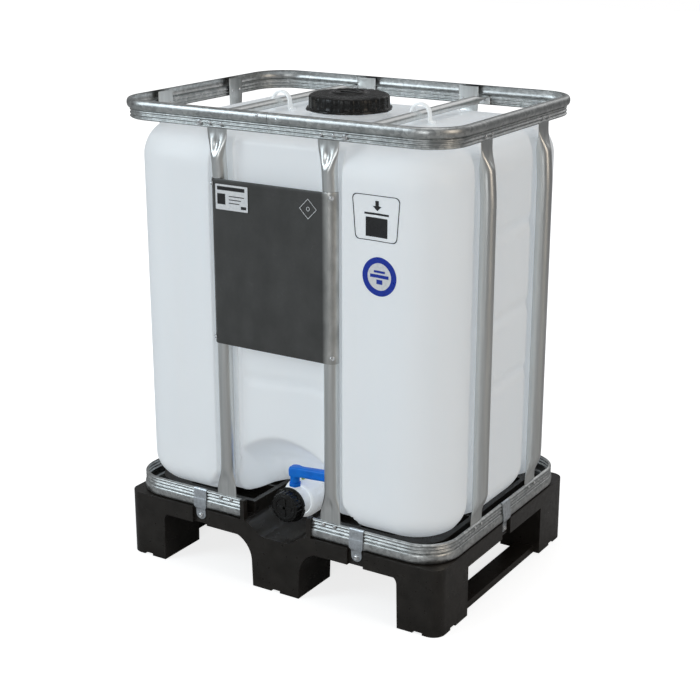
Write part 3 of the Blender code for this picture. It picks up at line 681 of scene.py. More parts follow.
def tank(look):
    """The moulded shell, outside and inside, with its neck."""
    stations = tank_stations()
    outside = [tank_loop(stations, z, inset) for z, inset in tank_levels(14, 0.0045)]
    brow = outside[-1]
    foot = neck_loop(brow, NECK_RADIUS + 0.022, 0)
    for share in (0.2, 0.4, 0.6, 0.8, 1.0):
        outside.append(between(brow, foot, share, TANK_TOP + 0.0025 * soft_step(share)))
    for step in range(1, 5):
        angle = radians(22.5 * step)
        radius = NECK_RADIUS + 0.006 - 0.006 * sin(angle)
        outside.append(neck_loop(brow, radius, TANK_TOP + 0.0025 + 0.006 * (1 - cos(angle))))
    outside.append(neck_loop(brow, NECK_RADIUS, NECK_TOP - 0.0008))
    outside.append(neck_loop(brow, NECK_RADIUS - 0.0008, NECK_TOP))
    inside = [tank_loop(stations, z, inset, TANK_WALL) for z, inset in tank_levels(4, 0.025)]
    inside[0] = [(x, y, TANK_BOTTOM + TANK_WALL) for x, y, _ in inside[0]]
    under = inside.pop()
    inside.append([(x, y, TANK_TOP - TANK_WALL) for x, y, _ in under])
    inside.append(neck_loop(brow, NECK_RADIUS - TANK_WALL - 0.0006, TANK_TOP - TANK_WALL + 0.001))
    inside.append(neck_loop(brow, NECK_RADIUS - TANK_WALL - 0.0006, NECK_TOP - 0.0008))
    inside.append(neck_loop(brow, NECK_RADIUS - TANK_WALL, NECK_TOP))
    piece("tank_shell", loft(outside + inside[::-1]), look, ("tank",), smooth=60.0)
    thread = []
    turns = 1.6
    count = 150
    for step in range(count + 1):
        angle = 2 * pi * turns * step / count
        fade = min(step, count - step, 8) / 8
        rise = 1.003 + 0.01 * step / count
        root = NECK_RADIUS - 0.0004
        tip = root + 0.0004 + 0.0014 * fade
        section = ((root, -0.0016), (tip, -0.0005), (tip, 0.0005), (root, 0.0016))
        thread.append([(r * cos(angle), r * sin(angle), rise + up) for r, up in section])
    piece("neck_thread", loft(thread), look, smooth=50.0)
    spout = [
        (0.027, 0.09), (0.04, 0.09), (0.036, 0.11), (0.034, 0.13), (0.034, 0.1715),
        (0.0335, 0.172), (0.0275, 0.172), (0.027, 0.1715),
    ]
    piece("tank_spout", turned(spout, 64), look, place=forward())


# Pallet


def row_outline():
    """Feet and arches of the front row, seen from the front."""
    half = LENGTH / 2
    inner = half - FOOT
    centre = MIDDLE_FOOT / 2
    small = 0.018
    arch = 0.058
    under = 0.116
    right = [(centre - 0.002, 0.0)]
    for step in range(15):
        angle = radians(180 - 90 * step / 14)
        right.append((centre + arch + arch * cos(angle), under - arch + arch * sin(angle)))
    for step in range(7):
        angle = radians(90 - 90 * step / 6)
        right.append((inner - small + small * cos(angle), under - small + small * sin(angle)))
    right += [(inner + 0.002, 0.0), (half, 0.0), (half, DECK_TOP - 0.002)]
    return right + [(-x, z) for x, z in reversed(right)]


def row_solid(low, high):
    """The row's outline drawn along Y."""
    outline = row_outline()
    return loft([[(x, low, z) for x, z in outline], [(x, high, z) for x, z in outline]])


def pallet(look):
    """Deck, plateau grid, six hollow feet and two runners, all with soft edges."""
    half_x = LENGTH / 2
    half_y = WIDTH / 2
    made = bare("pallet_shell", prism(rounded((0, 0), half_x, half_y, 0.016, 3), DECK_BOTTOM, DECK_TOP))
    rows = together(
        row_solid(-half_y, -half_y + FOOT_DEPTH),
        row_solid(half_y - FOOT_DEPTH, half_y),
    )
    combine(made, rows, "UNION")
    grid = [prism(rounded((0, 0), 0.362, 0.258, 0.06, 10), DECK_TOP - 0.003, PLATEAU_TOP)]
    for side in (-1, 1):
        stop = OUTLET_GAP - GAP
        low, high = sorted((side * stop, side * (stop - 0.01)))
        grid.append(box_points((low, -0.2995, DECK_TOP - 0.003), (high, -0.286, 0.194)))
    combine(made, together(*grid), "UNION")
    runners = []
    for side in (-1, 1):
        low, high = sorted((side * 0.34, side * 0.386))
        runners.append(box_points((low, -0.185, 0), (high, 0.185, RUNNER_HEIGHT)))
    combine(made, together(*runners), "UNION")
    combine(made, prism(rounded((0, 0), half_x, half_y, 0.028, 12), -0.01, 0.3), "INTERSECT")
    combine(made, pallet_hollows(), "DIFFERENCE")
    combine(made, foot_notches(), "DIFFERENCE")
    dress(made, 30, 0.0016, 40.0)
    finish_piece(made, look, ("pallet",))


def foot_notches():
    """Small notches across the bottoms of the feet."""
    cuts = []
    for x in (-LENGTH / 2 + FOOT / 2, 0.0, LENGTH / 2 - FOOT / 2):
        for side in (-1, 1):
            low, high = sorted((side * 0.2885, side * 0.31))
            cuts.append(box_points((x - 0.011, low, -0.01), (x + 0.011, high, 0.005)))
    for side in (-1, 1):
        for y in (-0.238, 0.238):
            low, high = sorted((side * 0.3885, side * 0.41))
            cuts.append(box_points((low, y - 0.011, -0.01), (high, y + 0.011, 0.005)))
    return together(*cuts)


def pallet_hollows():
    """Hollows under the deck and in the feet, cells in the plateau, clamp seats and the outlet notch."""
    wall = 0.006
    under = DECK_TOP - DECK_SKIN
    foot_wall = 0.012
    outer_x = LENGTH / 2 - foot_wall
    outer_y = WIDTH / 2 - foot_wall
    behind_clamp = 0.0145
    apron_y = WIDTH / 2 - behind_clamp
    side_x = LENGTH / 2 - behind_clamp
    foot_x = LENGTH / 2 - FOOT + wall
    foot_y = WIDTH / 2 - FOOT_DEPTH + wall
    centre = MIDDLE_FOOT / 2 - wall
    cells = []
    for side in (-1, 1):
        rear = side > 0
        y_low, y_high = sorted((side * foot_y, side * outer_y))
        middle_top = under if rear else DECK_BOTTOM - 0.004
        cells.append(box_points((-centre, y_low, -0.01), (centre, y_high, middle_top)))
        for end in (-1, 1):
            x_low, x_high = sorted((end * foot_x, end * outer_x))
            cells.append(box_points((x_low, y_low, -0.01), (x_high, y_high, under)))
            x_low, x_high = sorted((end * 0.128, end * (foot_x - 2 * wall)))
            apron_low, apron_high = sorted((side * foot_y, side * apron_y))
            cells.append(box_points((x_low, apron_low, DECK_BOTTOM - 0.03), (x_high, apron_high, under)))
    inside_y = foot_y - 2 * wall
    for low, high in ((-side_x, -0.306), (-0.294, -0.128), (-0.12, 0.12), (0.128, 0.294), (0.306, side_x)):
        front = inside_y if abs(low + high) > 0.01 else 0.072
        cells.append(box_points((low, -front, RUNNER_HEIGHT + 0.004), (high, inside_y, under)))
    rib = 0.003
    columns = [0.354 * step / 4 for step in range(-4, 5)]
    rows = (-0.25, -0.163, -0.076, 0.008, 0.09, 0.17, 0.25)
    for x_low, x_high in zip(columns, columns[1:]):
        for y_low, y_high in zip(rows, rows[1:]):
            outer_cell = abs(x_low + x_high) > 0.6 and abs(y_low + y_high) > 0.38
            in_front = y_high < 0 and abs(x_low + x_high) < 0.19
            if not (outer_cell or in_front):
                centre_x = (x_low + x_high) / 2
                centre_y = (y_low + y_high) / 2
                half = ((x_high - x_low) / 2 - rib, (y_high - y_low) / 2 - rib)
                cells.append(prism(rounded((centre_x, centre_y), *half, 0.004, 3), DECK_TOP, 0.2))
    for angle, reach, along in clamp_places():
        turn = Matrix.Rotation(radians(angle), 4, "Z")
        seat = box_points((along - 0.019, -reach - 0.03, 0.09), (along + 0.019, -reach + 0.0045, 0.152))
        cells.append(moved(seat, turn))
    return together(*cells, notch())


def notch():
    """The dished way in to the outlet at the front of the deck."""
    half = OUTLET_GAP - 0.011
    outline = []
    for step in range(25):
        x = half - 2 * half * step / 24
        sink = soft_step((half - abs(x)) / 0.05)
        outline.append((x, 0.148 - 0.026 * sink))
    outline += [(-half, 0.3), (half, 0.3)]
    return loft([[(x, -0.4, z) for x, z in outline], [(x, -0.0835, z) for x, z in outline]])


# Frame


def band_path(steps):
    """Corner centres and outward directions round a band, anticlockwise from the front's middle."""
    stations = []
    corners = ((1, -1, -90), (1, 1, 0), (-1, 1, 90), (-1, -1, 180))
    for side_x, side_y, start in corners:
        x = side_x * (BAND_X - BAND_RADIUS)
        y = side_y * (BAND_Y - BAND_RADIUS)
        for step in range(steps + 1):
            angle = radians(start + 90 * step / steps)
            stations.append((x, y, cos(angle), sin(angle)))
    return stations


def band_profile(share, bulge):
    """How far out the rolled sheet stands at a share of its height, ribs first and then the bulge."""
    lip = -0.0016 * soft_step((0.035 - share) / 0.035)
    if share < 0.5:
        ribs = 0.5 - 0.5 * cos(2 * pi * 3 * share / 0.5)
        return -0.0026 + 0.0026 * ribs ** 0.8 + lip
    rise = (share - 0.5) / 0.5
    swell = sqrt(max(0.0, 1 - (2 * rise - 1) ** 2))
    roll = -0.001 * soft_step((rise - 0.9) / 0.1)
    return -0.0026 + (bulge + 0.0026) * swell ** 0.75 + roll


def band_section(low, high, bulge, bulge_up):
    """A closed sheet section: distance out from the band's face, and height."""
    count = 64
    outer = [(band_profile(step / count, bulge), step / count) for step in range(count + 1)]
    section = outer + [(out - BAND_SHEET, share) for out, share in reversed(outer)]
    tall = high - low
    if bulge_up:
        return [(out, low + share * tall) for out, share in section]
    return [(out, high - share * tall) for out, share in section]


def band(name, node, section, opening, look):
    """A band swept round the frame from one side of its opening at the front to the other."""
    straight_y = -(BAND_Y - BAND_RADIUS)
    right, left = opening
    stations = [(right, straight_y, 0, -1)] + band_path(18) + [(left, straight_y, 0, -1)]
    fine = []
    for here, there in zip(stations, stations[1:]):
        run = sqrt((there[0] - here[0]) ** 2 + (there[1] - here[1]) ** 2)
        parts = max(1, round(run / 0.06))
        for part in range(parts):
            share = part / parts
            fine.append(tuple(a + (b - a) * share for a, b in zip(here, there)))
    fine.append(stations[-1])
    loops = []
    for x, y, out_x, out_y in fine:
        reaches = [(BAND_RADIUS + out, up) for out, up in section]
        loops.append([(x + out_x * reach, y + out_y * reach, up) for reach, up in reaches])
    return piece(name, loft(loops), look, (node,), smooth=50.0)


def rivet(radius, tall):
    """A domed rivet with a small dimple, along -Z from its seat, and its set end behind the sheets."""
    profile = [(0.0, tall - 0.0006), (radius * 0.28, tall - 0.0005), (radius * 0.36, tall)]
    for step in range(1, 7):
        angle = radians(15 * step)
        profile.append((radius * (0.36 + 0.64 * sin(angle)), tall * cos(angle)))
    profile += [(radius, -0.0003), (radius * 0.55, -0.0004), (radius * 0.55, -0.0062)]
    profile += [(radius * 0.85, -0.0064), (radius * 0.8, -0.008), (radius * 0.4, -0.0092), (0.0, -0.0094)]
    return turned(profile, 20)


def ring_rivets(name, z, out, look):
    """Two rivets through the band at every upright's end."""
    shapes = []
    for side in (-1, 1):
        for tube in (-1, 1):
            for apart in (-0.014, 0.014):
                front = Matrix.Translation((tube * TUBE_X + apart, side * (BAND_Y + out), z))
                shapes.append(moved(rivet(0.0038, 0.0018), front @ Matrix.Rotation(-side * pi / 2, 4, "X")))
                end = Matrix.Translation((side * (BAND_X + out), tube * TUBE_Y + apart, z))
                shapes.append(moved(rivet(0.0038, 0.0018), end @ Matrix.Rotation(side * pi / 2, 4, "Y")))
    piece(name, together(*shapes), look, smooth=40.0)


def splice(look, rivet_look):
    """The strap behind the top band's seam, and its two rivets."""
    straight = -(BAND_Y - BAND_SHEET - 0.0026)
    strap = rounded((SEAM, TOP_BAND[0] + 0.029), 0.036, 0.0105, 0.004, 4)
    depth = (straight + 0.0006, straight + 0.0024)
    shape = loft([[(x, y, z) for x, z in strap] for y in depth])
    piece("top_ring_splice", shape, look, edge=0.0004)
    rivets = []
    for x, z in ((-0.026, 1.0235), (0.019, 1.0185)):
        seat = Matrix.Translation((x, -(BAND_Y + BULGE - 0.0006), z))
        rivets.append(moved(rivet(0.004, 0.001), seat @ Matrix.Rotation(pi / 2, 4, "X")))
    piece("splice_rivets", together(*rivets), rivet_look, smooth=40.0)


def tube_section(wide, thick, dent, steps):
    """An oval whose outward side is pinched in along its middle."""
    points = []
    for u, v in ellipse(wide, thick, steps):
        pinch = dent * exp(-((u / (0.34 * wide)) ** 2)) if v < 0 else 0.0
        points.append((u, v + pinch))
    return points


def tube_shape(stations, wall, steps):
    """A tube that changes section: each station is a place, half width, half depth and pinch."""
    outer = []
    inner = []
    for place, wide, thick, dent in stations:
        outer.append([tuple(place @ Vector((u, v, 0))) for u, v in tube_section(wide, thick, dent, steps)])
        hole = tube_section(wide - wall, thick - wall, dent * 0.9, steps)
        inner.append([tuple(place @ Vector((u, v, 0))) for u, v in hole])
    return loft(outer + inner[::-1], ring=True)


def upright_stations(press):
    """Sections of an upright along its height, its flattened ends set off its axis by press."""
    flat = TUBE_WALL + 0.00025
    stations = []

    def at(z, squeeze):
        lean = soft_step((z - LEAN_FROM) / (HIGH_TAPER[1] - LEAN_FROM)) if z > LEAN_FROM else squeeze
        wide = TUBE_RADIUS + (TUBE_FLAT - TUBE_RADIUS) * squeeze
        thick = TUBE_RADIUS + (flat - TUBE_RADIUS) * squeeze ** 1.15
        dent = 0.0052 * sin(pi * min(squeeze, 1.0)) ** 1.4
        stations.append((Matrix.Translation((0, press * lean, z)), wide, thick, dent))

    at(TUBE_LOW, 1.0)
    low, low_end = LOW_TAPER
    high, high_end = HIGH_TAPER
    for step in range(17):
        at(low + (low_end - low) * step / 16, 1 - soft_step(step / 16))
    for step in range(1, 7):
        at(low_end + (LEAN_FROM - low_end) * step / 7, 0.0)
    for step in range(8):
        at(LEAN_FROM + (high - LEAN_FROM) * step / 8, 0.0)
    for step in range(17):
        at(high + (high_end - high) * step / 16, soft_step(step / 16))
    at(TUBE_HIGH, 1.0)
    return stations


def uprights(look):
    """Two tubes on each side."""
    along = tube_shape(upright_stations(TUBE_AXIS_Y + TUBE_END - BAND_Y), TUBE_WALL, 40)
    across = tube_shape(upright_stations(TUBE_AXIS_X + TUBE_END - BAND_X), TUBE_WALL, 40)
    places = (
        ("front_left", 0, -TUBE_X, -TUBE_AXIS_Y),
        ("front_right", 0, TUBE_X, -TUBE_AXIS_Y),
        ("rear_left", 180, -TUBE_X, TUBE_AXIS_Y),
        ("rear_right", 180, TUBE_X, TUBE_AXIS_Y),
        ("left_front", -90, -TUBE_AXIS_X, -TUBE_Y),
        ("left_rear", -90, -TUBE_AXIS_X, TUBE_Y),
        ("right_front", 90, TUBE_AXIS_X, -TUBE_Y),
        ("right_rear", 90, TUBE_AXIS_X, TUBE_Y),
    )
    for name, angle, x, y in places:
        place = facing(angle, x, y, 0)
        shape = across if abs(angle) == 90 else along
        node = "upright_" + name
        piece("tube_" + name, shape, look, (node,), place=place, smooth=60.0)


def crossbars(look):
    """Tubes over the tank, their flattened ends bent down inside the top band."""
    flat = TUBE_WALL + 0.00025
    wide = 0.014
    end = BAND_Y - TUBE_END
    key = (
        (0.232, BAR_Z, 0, BAR_RADIUS, BAR_RADIUS),
        (0.24, BAR_Z, 0, BAR_RADIUS, BAR_RADIUS),
        (0.262, BAR_Z + 0.002, 0, wide, flat + 0.001),
        (end - 0.004, BAR_Z + 0.0045, -20, wide, flat),
        (end, BAR_Z + 0.0005, -78, wide, flat),
        (end, 0.9905, -90, wide, flat),
    )
    half = []
    for here, there in zip(key, key[1:]):
        for part in range(4):
            share = part / 4
            half.append(tuple(a + (b - a) * share for a, b in zip(here, there)))
    half.append(key[-1])
    stations = []
    for side in (-1, 1):
        for y, z, tilt, across, thick in (reversed(half) if side < 0 else half):
            place = Matrix.Translation((0, side * y, z)) @ Matrix.Rotation(radians(side * tilt), 4, "X")
            stations.append((place @ Matrix.Rotation(pi / 2, 4, "X"), across, thick, 0.0))
    shape = tube_shape(stations, TUBE_WALL, 32)
    for name, x in (("left", -BAR_X), ("right", BAR_X)):
        place = Matrix.Translation((x, 0, 0))
        node = "crossbar_" + name
        piece("bar_" + name, shape, look, (node,), place=place, smooth=60.0)


def hexagon_head(radius, tall, flange, shank, reach):
    """A flanged hexagon head with a chamfer and a dimple, along Z from its seat."""
    head = [(0, tall - 0.0007), (radius * 0.45, tall - 0.0005), (radius * 0.55, tall), (radius * 0.8, tall)]
    head += [(radius, tall * 0.8), (radius, 0.0008), (0, 0.0008)]
    skirt = [(0, 0.0012), (flange * 0.86, 0.0012), (flange, 0.0007), (flange, 0), (shank, 0)]
    skirt += [(shank, -reach), (0, -reach)]
    return together(turned(head, 6), turned(skirt, 28))


def screw(name, node, sizes, place, look):
    """One screw in its place."""
    piece(name, moved(hexagon_head(*sizes), place), look, (node,), smooth=30.0, edge=0.0002)


def crossbar_bolts(look):
    """Bolts through the top band into the crossbars' ends."""
    seat = BAND_Y - 0.0004
    sizes = (0.0052, 0.004, 0.0062, 0.003, 0.012)
    for end, side in (("front", -1), ("rear", 1)):
        for hand, x in (("left", -BAR_X), ("right", BAR_X)):
            turn = Matrix.Rotation(-side * pi / 2, 4, "X")
            place = Matrix.Translation((x, side * seat, BAR_BOLT_Z)) @ turn
            name = end + "_" + hand
            screw("bar_bolt_" + name, "crossbar_bolt_" + name, sizes, place, look)


def clips(look):
    """Arched clips over the crossbars, with feet on the tank's top."""
    reach = 0.0215
    thick = 0.0048
    centre_z = 1.005
    foot = TANK_TOP + 0.0045
    loops = []
    route = [(-reach - 0.009, foot + 0.0005, 0.0095), (-reach - 0.003, foot + 0.001, 0.0085)]
    route.append((-reach, foot + 0.006, 0.007))
    for step in range(21):
        angle = pi - pi * step / 20
        route.append((reach * cos(angle), centre_z + reach * sin(angle), 0.006))
    route += [(reach, foot + 0.006, 0.007), (reach + 0.003, foot + 0.001, 0.0085)]
    route.append((reach + 0.009, foot + 0.0005, 0.0095))
    for index, (x, z, half) in enumerate(route):
        before = route[max(index - 1, 0)]
        after = route[min(index + 1, len(route) - 1)]
        run = Vector((after[0] - before[0], after[1] - before[1])).normalized()
        across = Vector((-run.y, run.x))
        section = rounded((0, 0), half, thick / 2, 0.0016, 3)
        loops.append([(x + across.x * v, u, z + across.y * v) for u, v in section])
    for name, x in (("left", -BAR_X), ("right", BAR_X)):
        place = Matrix.Translation((x, 0, 0))
        node = "crossbar_clip_" + name
        piece("clip_" + name, loft(loops), look, (node,), place=place, smooth=50.0)


def clamp_places():
    """Turn about Z, reach to the band's face and place along it, for each hold-down clamp."""
    front = WIDTH / 2 - 0.004
    end = LENGTH / 2 - 0.004
    return (
        (0, front, -CLAMP_X),
        (0, front, CLAMP_X),
        (180, front, -CLAMP_X),
        (180, front, CLAMP_X),
        (-90, end, 0.0),
        (90, end, 0.0),
    )


def clamps(look, screw_look):
    """Straps hooked over the bottom band, each screwed to the pallet's edge by a round tab."""
    sheet = 0.002
    sizes = (0.0054, 0.0035, 0.0068, 0.0028, 0.0018)
    top = BOTTOM_BAND[1] + GAP + sheet / 2
    for name, (angle, reach, along) in zip(CLAMP_NAMES, clamp_places()):
        face = (BAND_Y if reach < 0.3 else BAND_X) + sheet / 2 + GAP
        bulge = face + LOW_BULGE + 0.0002
        inside = face - BAND_SHEET - sheet - 2 * GAP - 0.0022
        seat = reach - 0.0045 + sheet / 2 + GAP
        route = (
            (inside, top - 0.009),
            (inside, top),
            (face, top),
            (face, 0.174),
            (bulge, 0.169),
            (bulge, 0.15),
            (seat, 0.144),
            (seat, 0.122),
        )
        smooth_route = softened(route, 3)
        fine = []
        for here, there in zip(smooth_route, smooth_route[1:]):
            parts = max(1, round((Vector(there) - Vector(here)).length / 0.0015))
            fine += [tuple(Vector(here).lerp(Vector(there), part / parts)) for part in range(parts)]
        fine.append(smooth_route[-1])
        loops = []
        for index, (out, up) in enumerate(fine):
            before = fine[max(index - 1, 0)]
            after = fine[min(index + 1, len(fine) - 1)]
            run = Vector((after[0] - before[0], after[1] - before[1])).normalized()
            across = Vector((-run.y, run.x)) * sheet / 2
            half = 0.0165 - 0.004 * soft_step((0.153 - up) / 0.006)
            if up < 0.122 + 0.0125 and index > len(fine) / 2:
                half = max(0.0012, sqrt(max(0.0, 0.0125 ** 2 - (0.122 + 0.0125 - up) ** 2)))
            near = (out + across.x, up + across.y)
            far = (out - across.x, up - across.y)
            row = [-half + 2 * half * part / 6 for part in range(7)]
            outside = [(along + u, -near[0], near[1]) for u in row]
            loops.append(outside + [(along + u, -far[0], far[1]) for u in row[::-1]])
        strap = loft(loops)
        turn = facing(angle, 0, 0, 0)
        piece("strap_" + name, strap, look, ("clamp_" + name,), "root", turn, 40.0, 0.0003)
        place = turn @ Matrix.Translation((along, -seat - sheet / 2 - GAP, SCREW_Z))
        place = place @ Matrix.Rotation(pi / 2, 4, "X")
        screw("strap_screw_" + name, "clamp_screw_" + name, sizes, place, screw_look)


# Label plate


def plate_row(z):
    """Outer and inner points across the plate at one height: curl, flat face and curl."""
    edge = min(z - PLATE_LOW, PLATE_HIGH - z)
    hem = 0.0017 * soft_step(1 - abs(edge - 0.006) / 0.006)
    bead = hem + 0.0007 * soft_step(1 - abs(edge - 0.0175) / 0.0035)
    outer = []
    inner = []
    flat = [-TUBE_X + 2 * TUBE_X * part / 40 for part in range(41)]
    for radius, points in ((PLATE_REACH + PLATE_SHEET, outer), (PLATE_REACH, inner)):
        for step in range(12):
            angle = radians(90 * (1 - step / 12))
            points.append((-TUBE_X - radius * sin(angle), -TUBE_AXIS_Y - (radius + bead) * cos(angle)))
        for x in flat:
            buckle = 0.0005 * sin(17 * x + 2.1) * sin(13 * z) * cos(pi * x / (2 * TUBE_X))
            points.append((x, -TUBE_AXIS_Y - radius - bead - buckle))
        for step in range(1, 13):
            angle = radians(90 * step / 12)
            points.append((TUBE_X + radius * sin(angle), -TUBE_AXIS_Y - (radius + bead) * cos(angle)))
    return outer, inner


def label_plate(look, screw_look):
    """The curled sheet with rolled edges, and its four screws."""
    loops = []
    count = 60
    for step in range(count + 1):
        z = PLATE_LOW + (PLATE_HIGH - PLATE_LOW) * step / count
        if step == 1:
            z = PLATE_LOW + 0.002
        outer, inner = plate_row(z)
        loops.append([(x, y, z) for x, y in outer + inner[::-1]])
    piece("plate", loft(loops), look, ("label_plate",), smooth=50.0, edge=0.0002)
    lean = radians(35)
    sizes = (0.0042, 0.003, 0.0054, 0.0022, 0.0016)
    reach = TUBE_RADIUS + 0.001 + 0.001 + 3 * GAP
    for hand, side in (("left", -1), ("right", 1)):
        for level in ("lower", "upper"):
            node = "label_screw_" + level + "_" + hand
            z = middle(node).z
            turn = Matrix.Rotation(side * lean, 4, "Z") @ Matrix.Rotation(pi / 2, 4, "X")
            seat = (side * (TUBE_X + reach * sin(lean)), -TUBE_AXIS_Y - reach * cos(lean), z)
            place = Matrix.Translation(seat) @ turn
            screw("plate_screw_" + level + "_" + hand, node, sizes, place, screw_look)


# Printed labels


def on_plate(x, z):
    """A point on the label plate's face."""
    return Vector((x, -TUBE_AXIS_Y - PLATE_REACH - PLATE_SHEET - 0.0005, z))


def on_column(x, z):
    """A point on the tank's front face."""
    past = max(x - (TANK_X - TANK_CORNER), 0.0)
    round_off = TANK_CORNER - sqrt(TANK_CORNER**2 - past**2)
    return Vector((x, -TANK_Y + wall_depth("front", x, z) + round_off, z))


def patch(outline, surface, lift, thick, hole=None):
    """A thin closed film on a surface, within an outline; with a hole, a frame between the two outlines."""
    rings = 5
    centre = (sum(x for x, _ in outline) / len(outline), sum(z for _, z in outline) / len(outline))
    inner = hole or scaled(outline, centre, 0.02)
    loops = []
    for out in (lift + thick, lift):
        rows = []
        for ring in range(rings + 1):
            share = ring / rings
            row = []
            for (x, z), (hole_x, hole_z) in zip(outline, inner):
                at = surface(hole_x + (x - hole_x) * share, hole_z + (z - hole_z) * share)
                row.append((at.x, at.y - out, at.z))
            rows.append(row)
        loops += rows if out > lift else rows[::-1]
    return loft(loops, ring=hole is not None)


def scaled(outline, centre, share):
    return [(centre[0] + (x - centre[0]) * share, centre[1] + (z - centre[1]) * share) for x, z in outline]


def dense(points, pitch=0.004):
    """An outline with points added along its longer sides."""
    fine = []
    for here, there in zip(points, points[1:] + points[:1]):
        run = sqrt((there[0] - here[0]) ** 2 + (there[1] - here[1]) ** 2)
        parts = max(1, round(run / pitch))
        for part in range(parts):
            share = part / parts
            fine.append((here[0] + (there[0] - here[0]) * share, here[1] + (there[1] - here[1]) * share))
    return fine


def oblong(low_x, low_z, high_x, high_z):
    """A rectangular outline, with points along its sides."""
    return dense([(low_x, low_z), (high_x, low_z), (high_x, high_z), (low_x, high_z)])


def circle(centre, radius, count):
    """A round outline."""
    angles = [2 * pi * step / count for step in range(count)]
    return [(centre[0] + radius * cos(angle), centre[1] + radius * sin(angle)) for angle in angles]


def load_label(ink):
    """A plain handling pictogram: a frame, an arrow, a line and a block."""
    centre = (0.238, 0.848)
    frame_line = rounded(centre, 0.053, 0.045, 0.01, 6)
    narrow = []
    for x, z in frame_line:
        share = 1 - 0.1 * soft_step((centre[1] - z) / 0.04)
        narrow.append((centre[0] + (x - centre[0]) * share, z))
    outer = dense(narrow)
    hole = scaled(outer, centre, 0.965)
    block = oblong(0.214, 0.811, 0.264, 0.849)
    line = oblong(0.211, 0.854, 0.267, 0.858)
    arrow = dense([(0.24, 0.862), (0.25, 0.871), (0.244, 0.871), (0.244, 0.882), (0.236, 0.882),
                   (0.236, 0.871), (0.23, 0.871)], 0.002)
    shapes = [patch(outer, on_column, 0.0001, 0.0002, hole)]
    shapes += [patch(outline, on_column, 0.0001, 0.0002) for outline in (block, line, arrow)]
    piece("load_label", together(*shapes), ink, smooth=50.0)


def round_label(blue, white):
    """A round label: a blue ring round a white middle with plain bars."""
    centre = (0.246, 0.7335)
    rim = circle(centre, 0.039, 64)
    ring = patch(rim, on_column, 0.0003, 0.0002, scaled(rim, centre, 0.7))
    film = patch(rim, on_column, 0.0001, 0.00018)
    piece("round_label_ring", ring, blue, smooth=50.0)
    piece("round_label_film", film, white, smooth=50.0)
    bars = []
    for low, high, half in ((0.741, 0.7455, 0.013), (0.731, 0.7375, 0.0215), (0.7185, 0.7275, 0.007)):
        bar = oblong(centre[0] - half, low, centre[0] + half, high)
        bars.append(patch(bar, on_column, 0.0003, 0.0002))
    piece("round_label_bars", together(*bars), blue, smooth=50.0)


def plate_labels(white, ink):
    """The plate's white label with plain bars, and the outlined diamond."""
    centre = (-0.0925, 0.853)
    film = dense(rounded(centre, 0.04, 0.026, 0.0015, 3))
    piece("plate_label", patch(film, on_plate, 0.0008, 0.0002), white, smooth=50.0)
    bars = []
    for x, z, half_x, half_z in (
        (-0.094, 0.871, 0.034, 0.0038),
        (-0.118, 0.849, 0.01, 0.011),
        (-0.08, 0.856, 0.019, 0.0009),
        (-0.084, 0.849, 0.015, 0.0009),
        (-0.086, 0.842, 0.013, 0.0009),
        (-0.063, 0.835, 0.0065, 0.003),
    ):
        bars.append(patch(dense(rounded((x, z), half_x, half_z, 0.0006, 2)), on_plate, 0.001, 0.0002))
    piece("plate_label_bars", together(*bars), ink, smooth=50.0)
    tip = 0.0205
    centre = (0.092, 0.852)
    x, z = centre
    diamond = dense([(x, z - tip), (x + tip, z), (x, z + tip), (x - tip, z)], 0.003)
    frames = [patch(diamond, on_plate, 0.0008, 0.0002, scaled(diamond, centre, 0.93))]
    dot = circle(centre, 0.0042, 32)
    frames.append(patch(dot, on_plate, 0.0008, 0.0002, scaled(dot, centre, 0.75)))
    piece("plate_diamond", together(*frames), white, smooth=50.0)


# Lid and vent


def lid(look):
    """The screw lid: lugs on its flange, ribs on its skirt and top, and the boss round the vent."""
    profile = [
        (0.08, 1.002), (0.09, 1.002), (0.0905, 1.0024), (0.0905, 1.0062), (0.09, 1.0068), (0.0868, 1.0074),
        (0.0862, 1.0085), (0.0858, 1.015), (0.0855, 1.022), (0.0852, 1.029), (0.0845, 1.0312),
        (0.0825, 1.033), (0.08, 1.0342), (0.077, 1.0347), (0.07, 1.035), (0.06, 1.0355), (0.05, 1.036),
        (0.043, 1.0364), (0.04, 1.0368), (0.0385, 1.0378), (0.0378, 1.0394), (0.037, 1.04),
        (0.0322, 1.04), (0.0315, 1.0394), (0.031, 1.034), (0.0305, 1.0327), (0.0262, 1.0325),
        (0.0262, 1.027), (0.07, 1.027), (0.0715, 1.0246), (0.08, 1.0246),
    ]

    def shape(index, radius, height, angle):
        if index in (1, 2, 3, 4):
            lug = soft_step((cos(8 * angle) - 0.72) / 0.14)
            radius += 0.0025 * lug
        if index in (6, 7, 8, 9, 10):
            radius += 0.001 * soft_step(0.5 + 1.6 * cos(26 * angle)) - 0.0005
        if index in (13, 14, 15, 16):
            height += 0.0011 * soft_step(0.5 + 1.8 * cos(26 * angle)) - 0.0005
        return radius, height

    shell = turned(profile, 416, shape)
    piece("lid_shell", shell, look, ("lid",), body="lid", smooth=50.0)


def vent(look):
    """The vent plug with its grip bar and ribbed edge."""
    head = [
        (0.0, 1.012), (0.0246, 1.012), (0.0252, 1.0126), (0.0252, 1.0346), (0.0286, 1.0346), (0.029, 1.035),
        (0.029, 1.038), (0.0286, 1.0385), (0.0224, 1.0385), (0.0216, 1.038), (0.0208, 1.0366),
        (0.0, 1.0365),
    ]

    def shape(index, radius, height, angle):
        if index in (5, 6):
            radius -= 0.0006 * soft_step(0.5 + 1.5 * cos(30 * angle))
        return radius, height

    grip = prism(rounded((0, 0), 0.0204, 0.0042, 0.003, 5), 1.036, 1.0394)
    piece("vent_shell", together(turned(head, 180, shape), grip), look, ("vent_plug",),
          body="vent_plug", smooth=40.0, edge=0.0003)


# Outlet valve


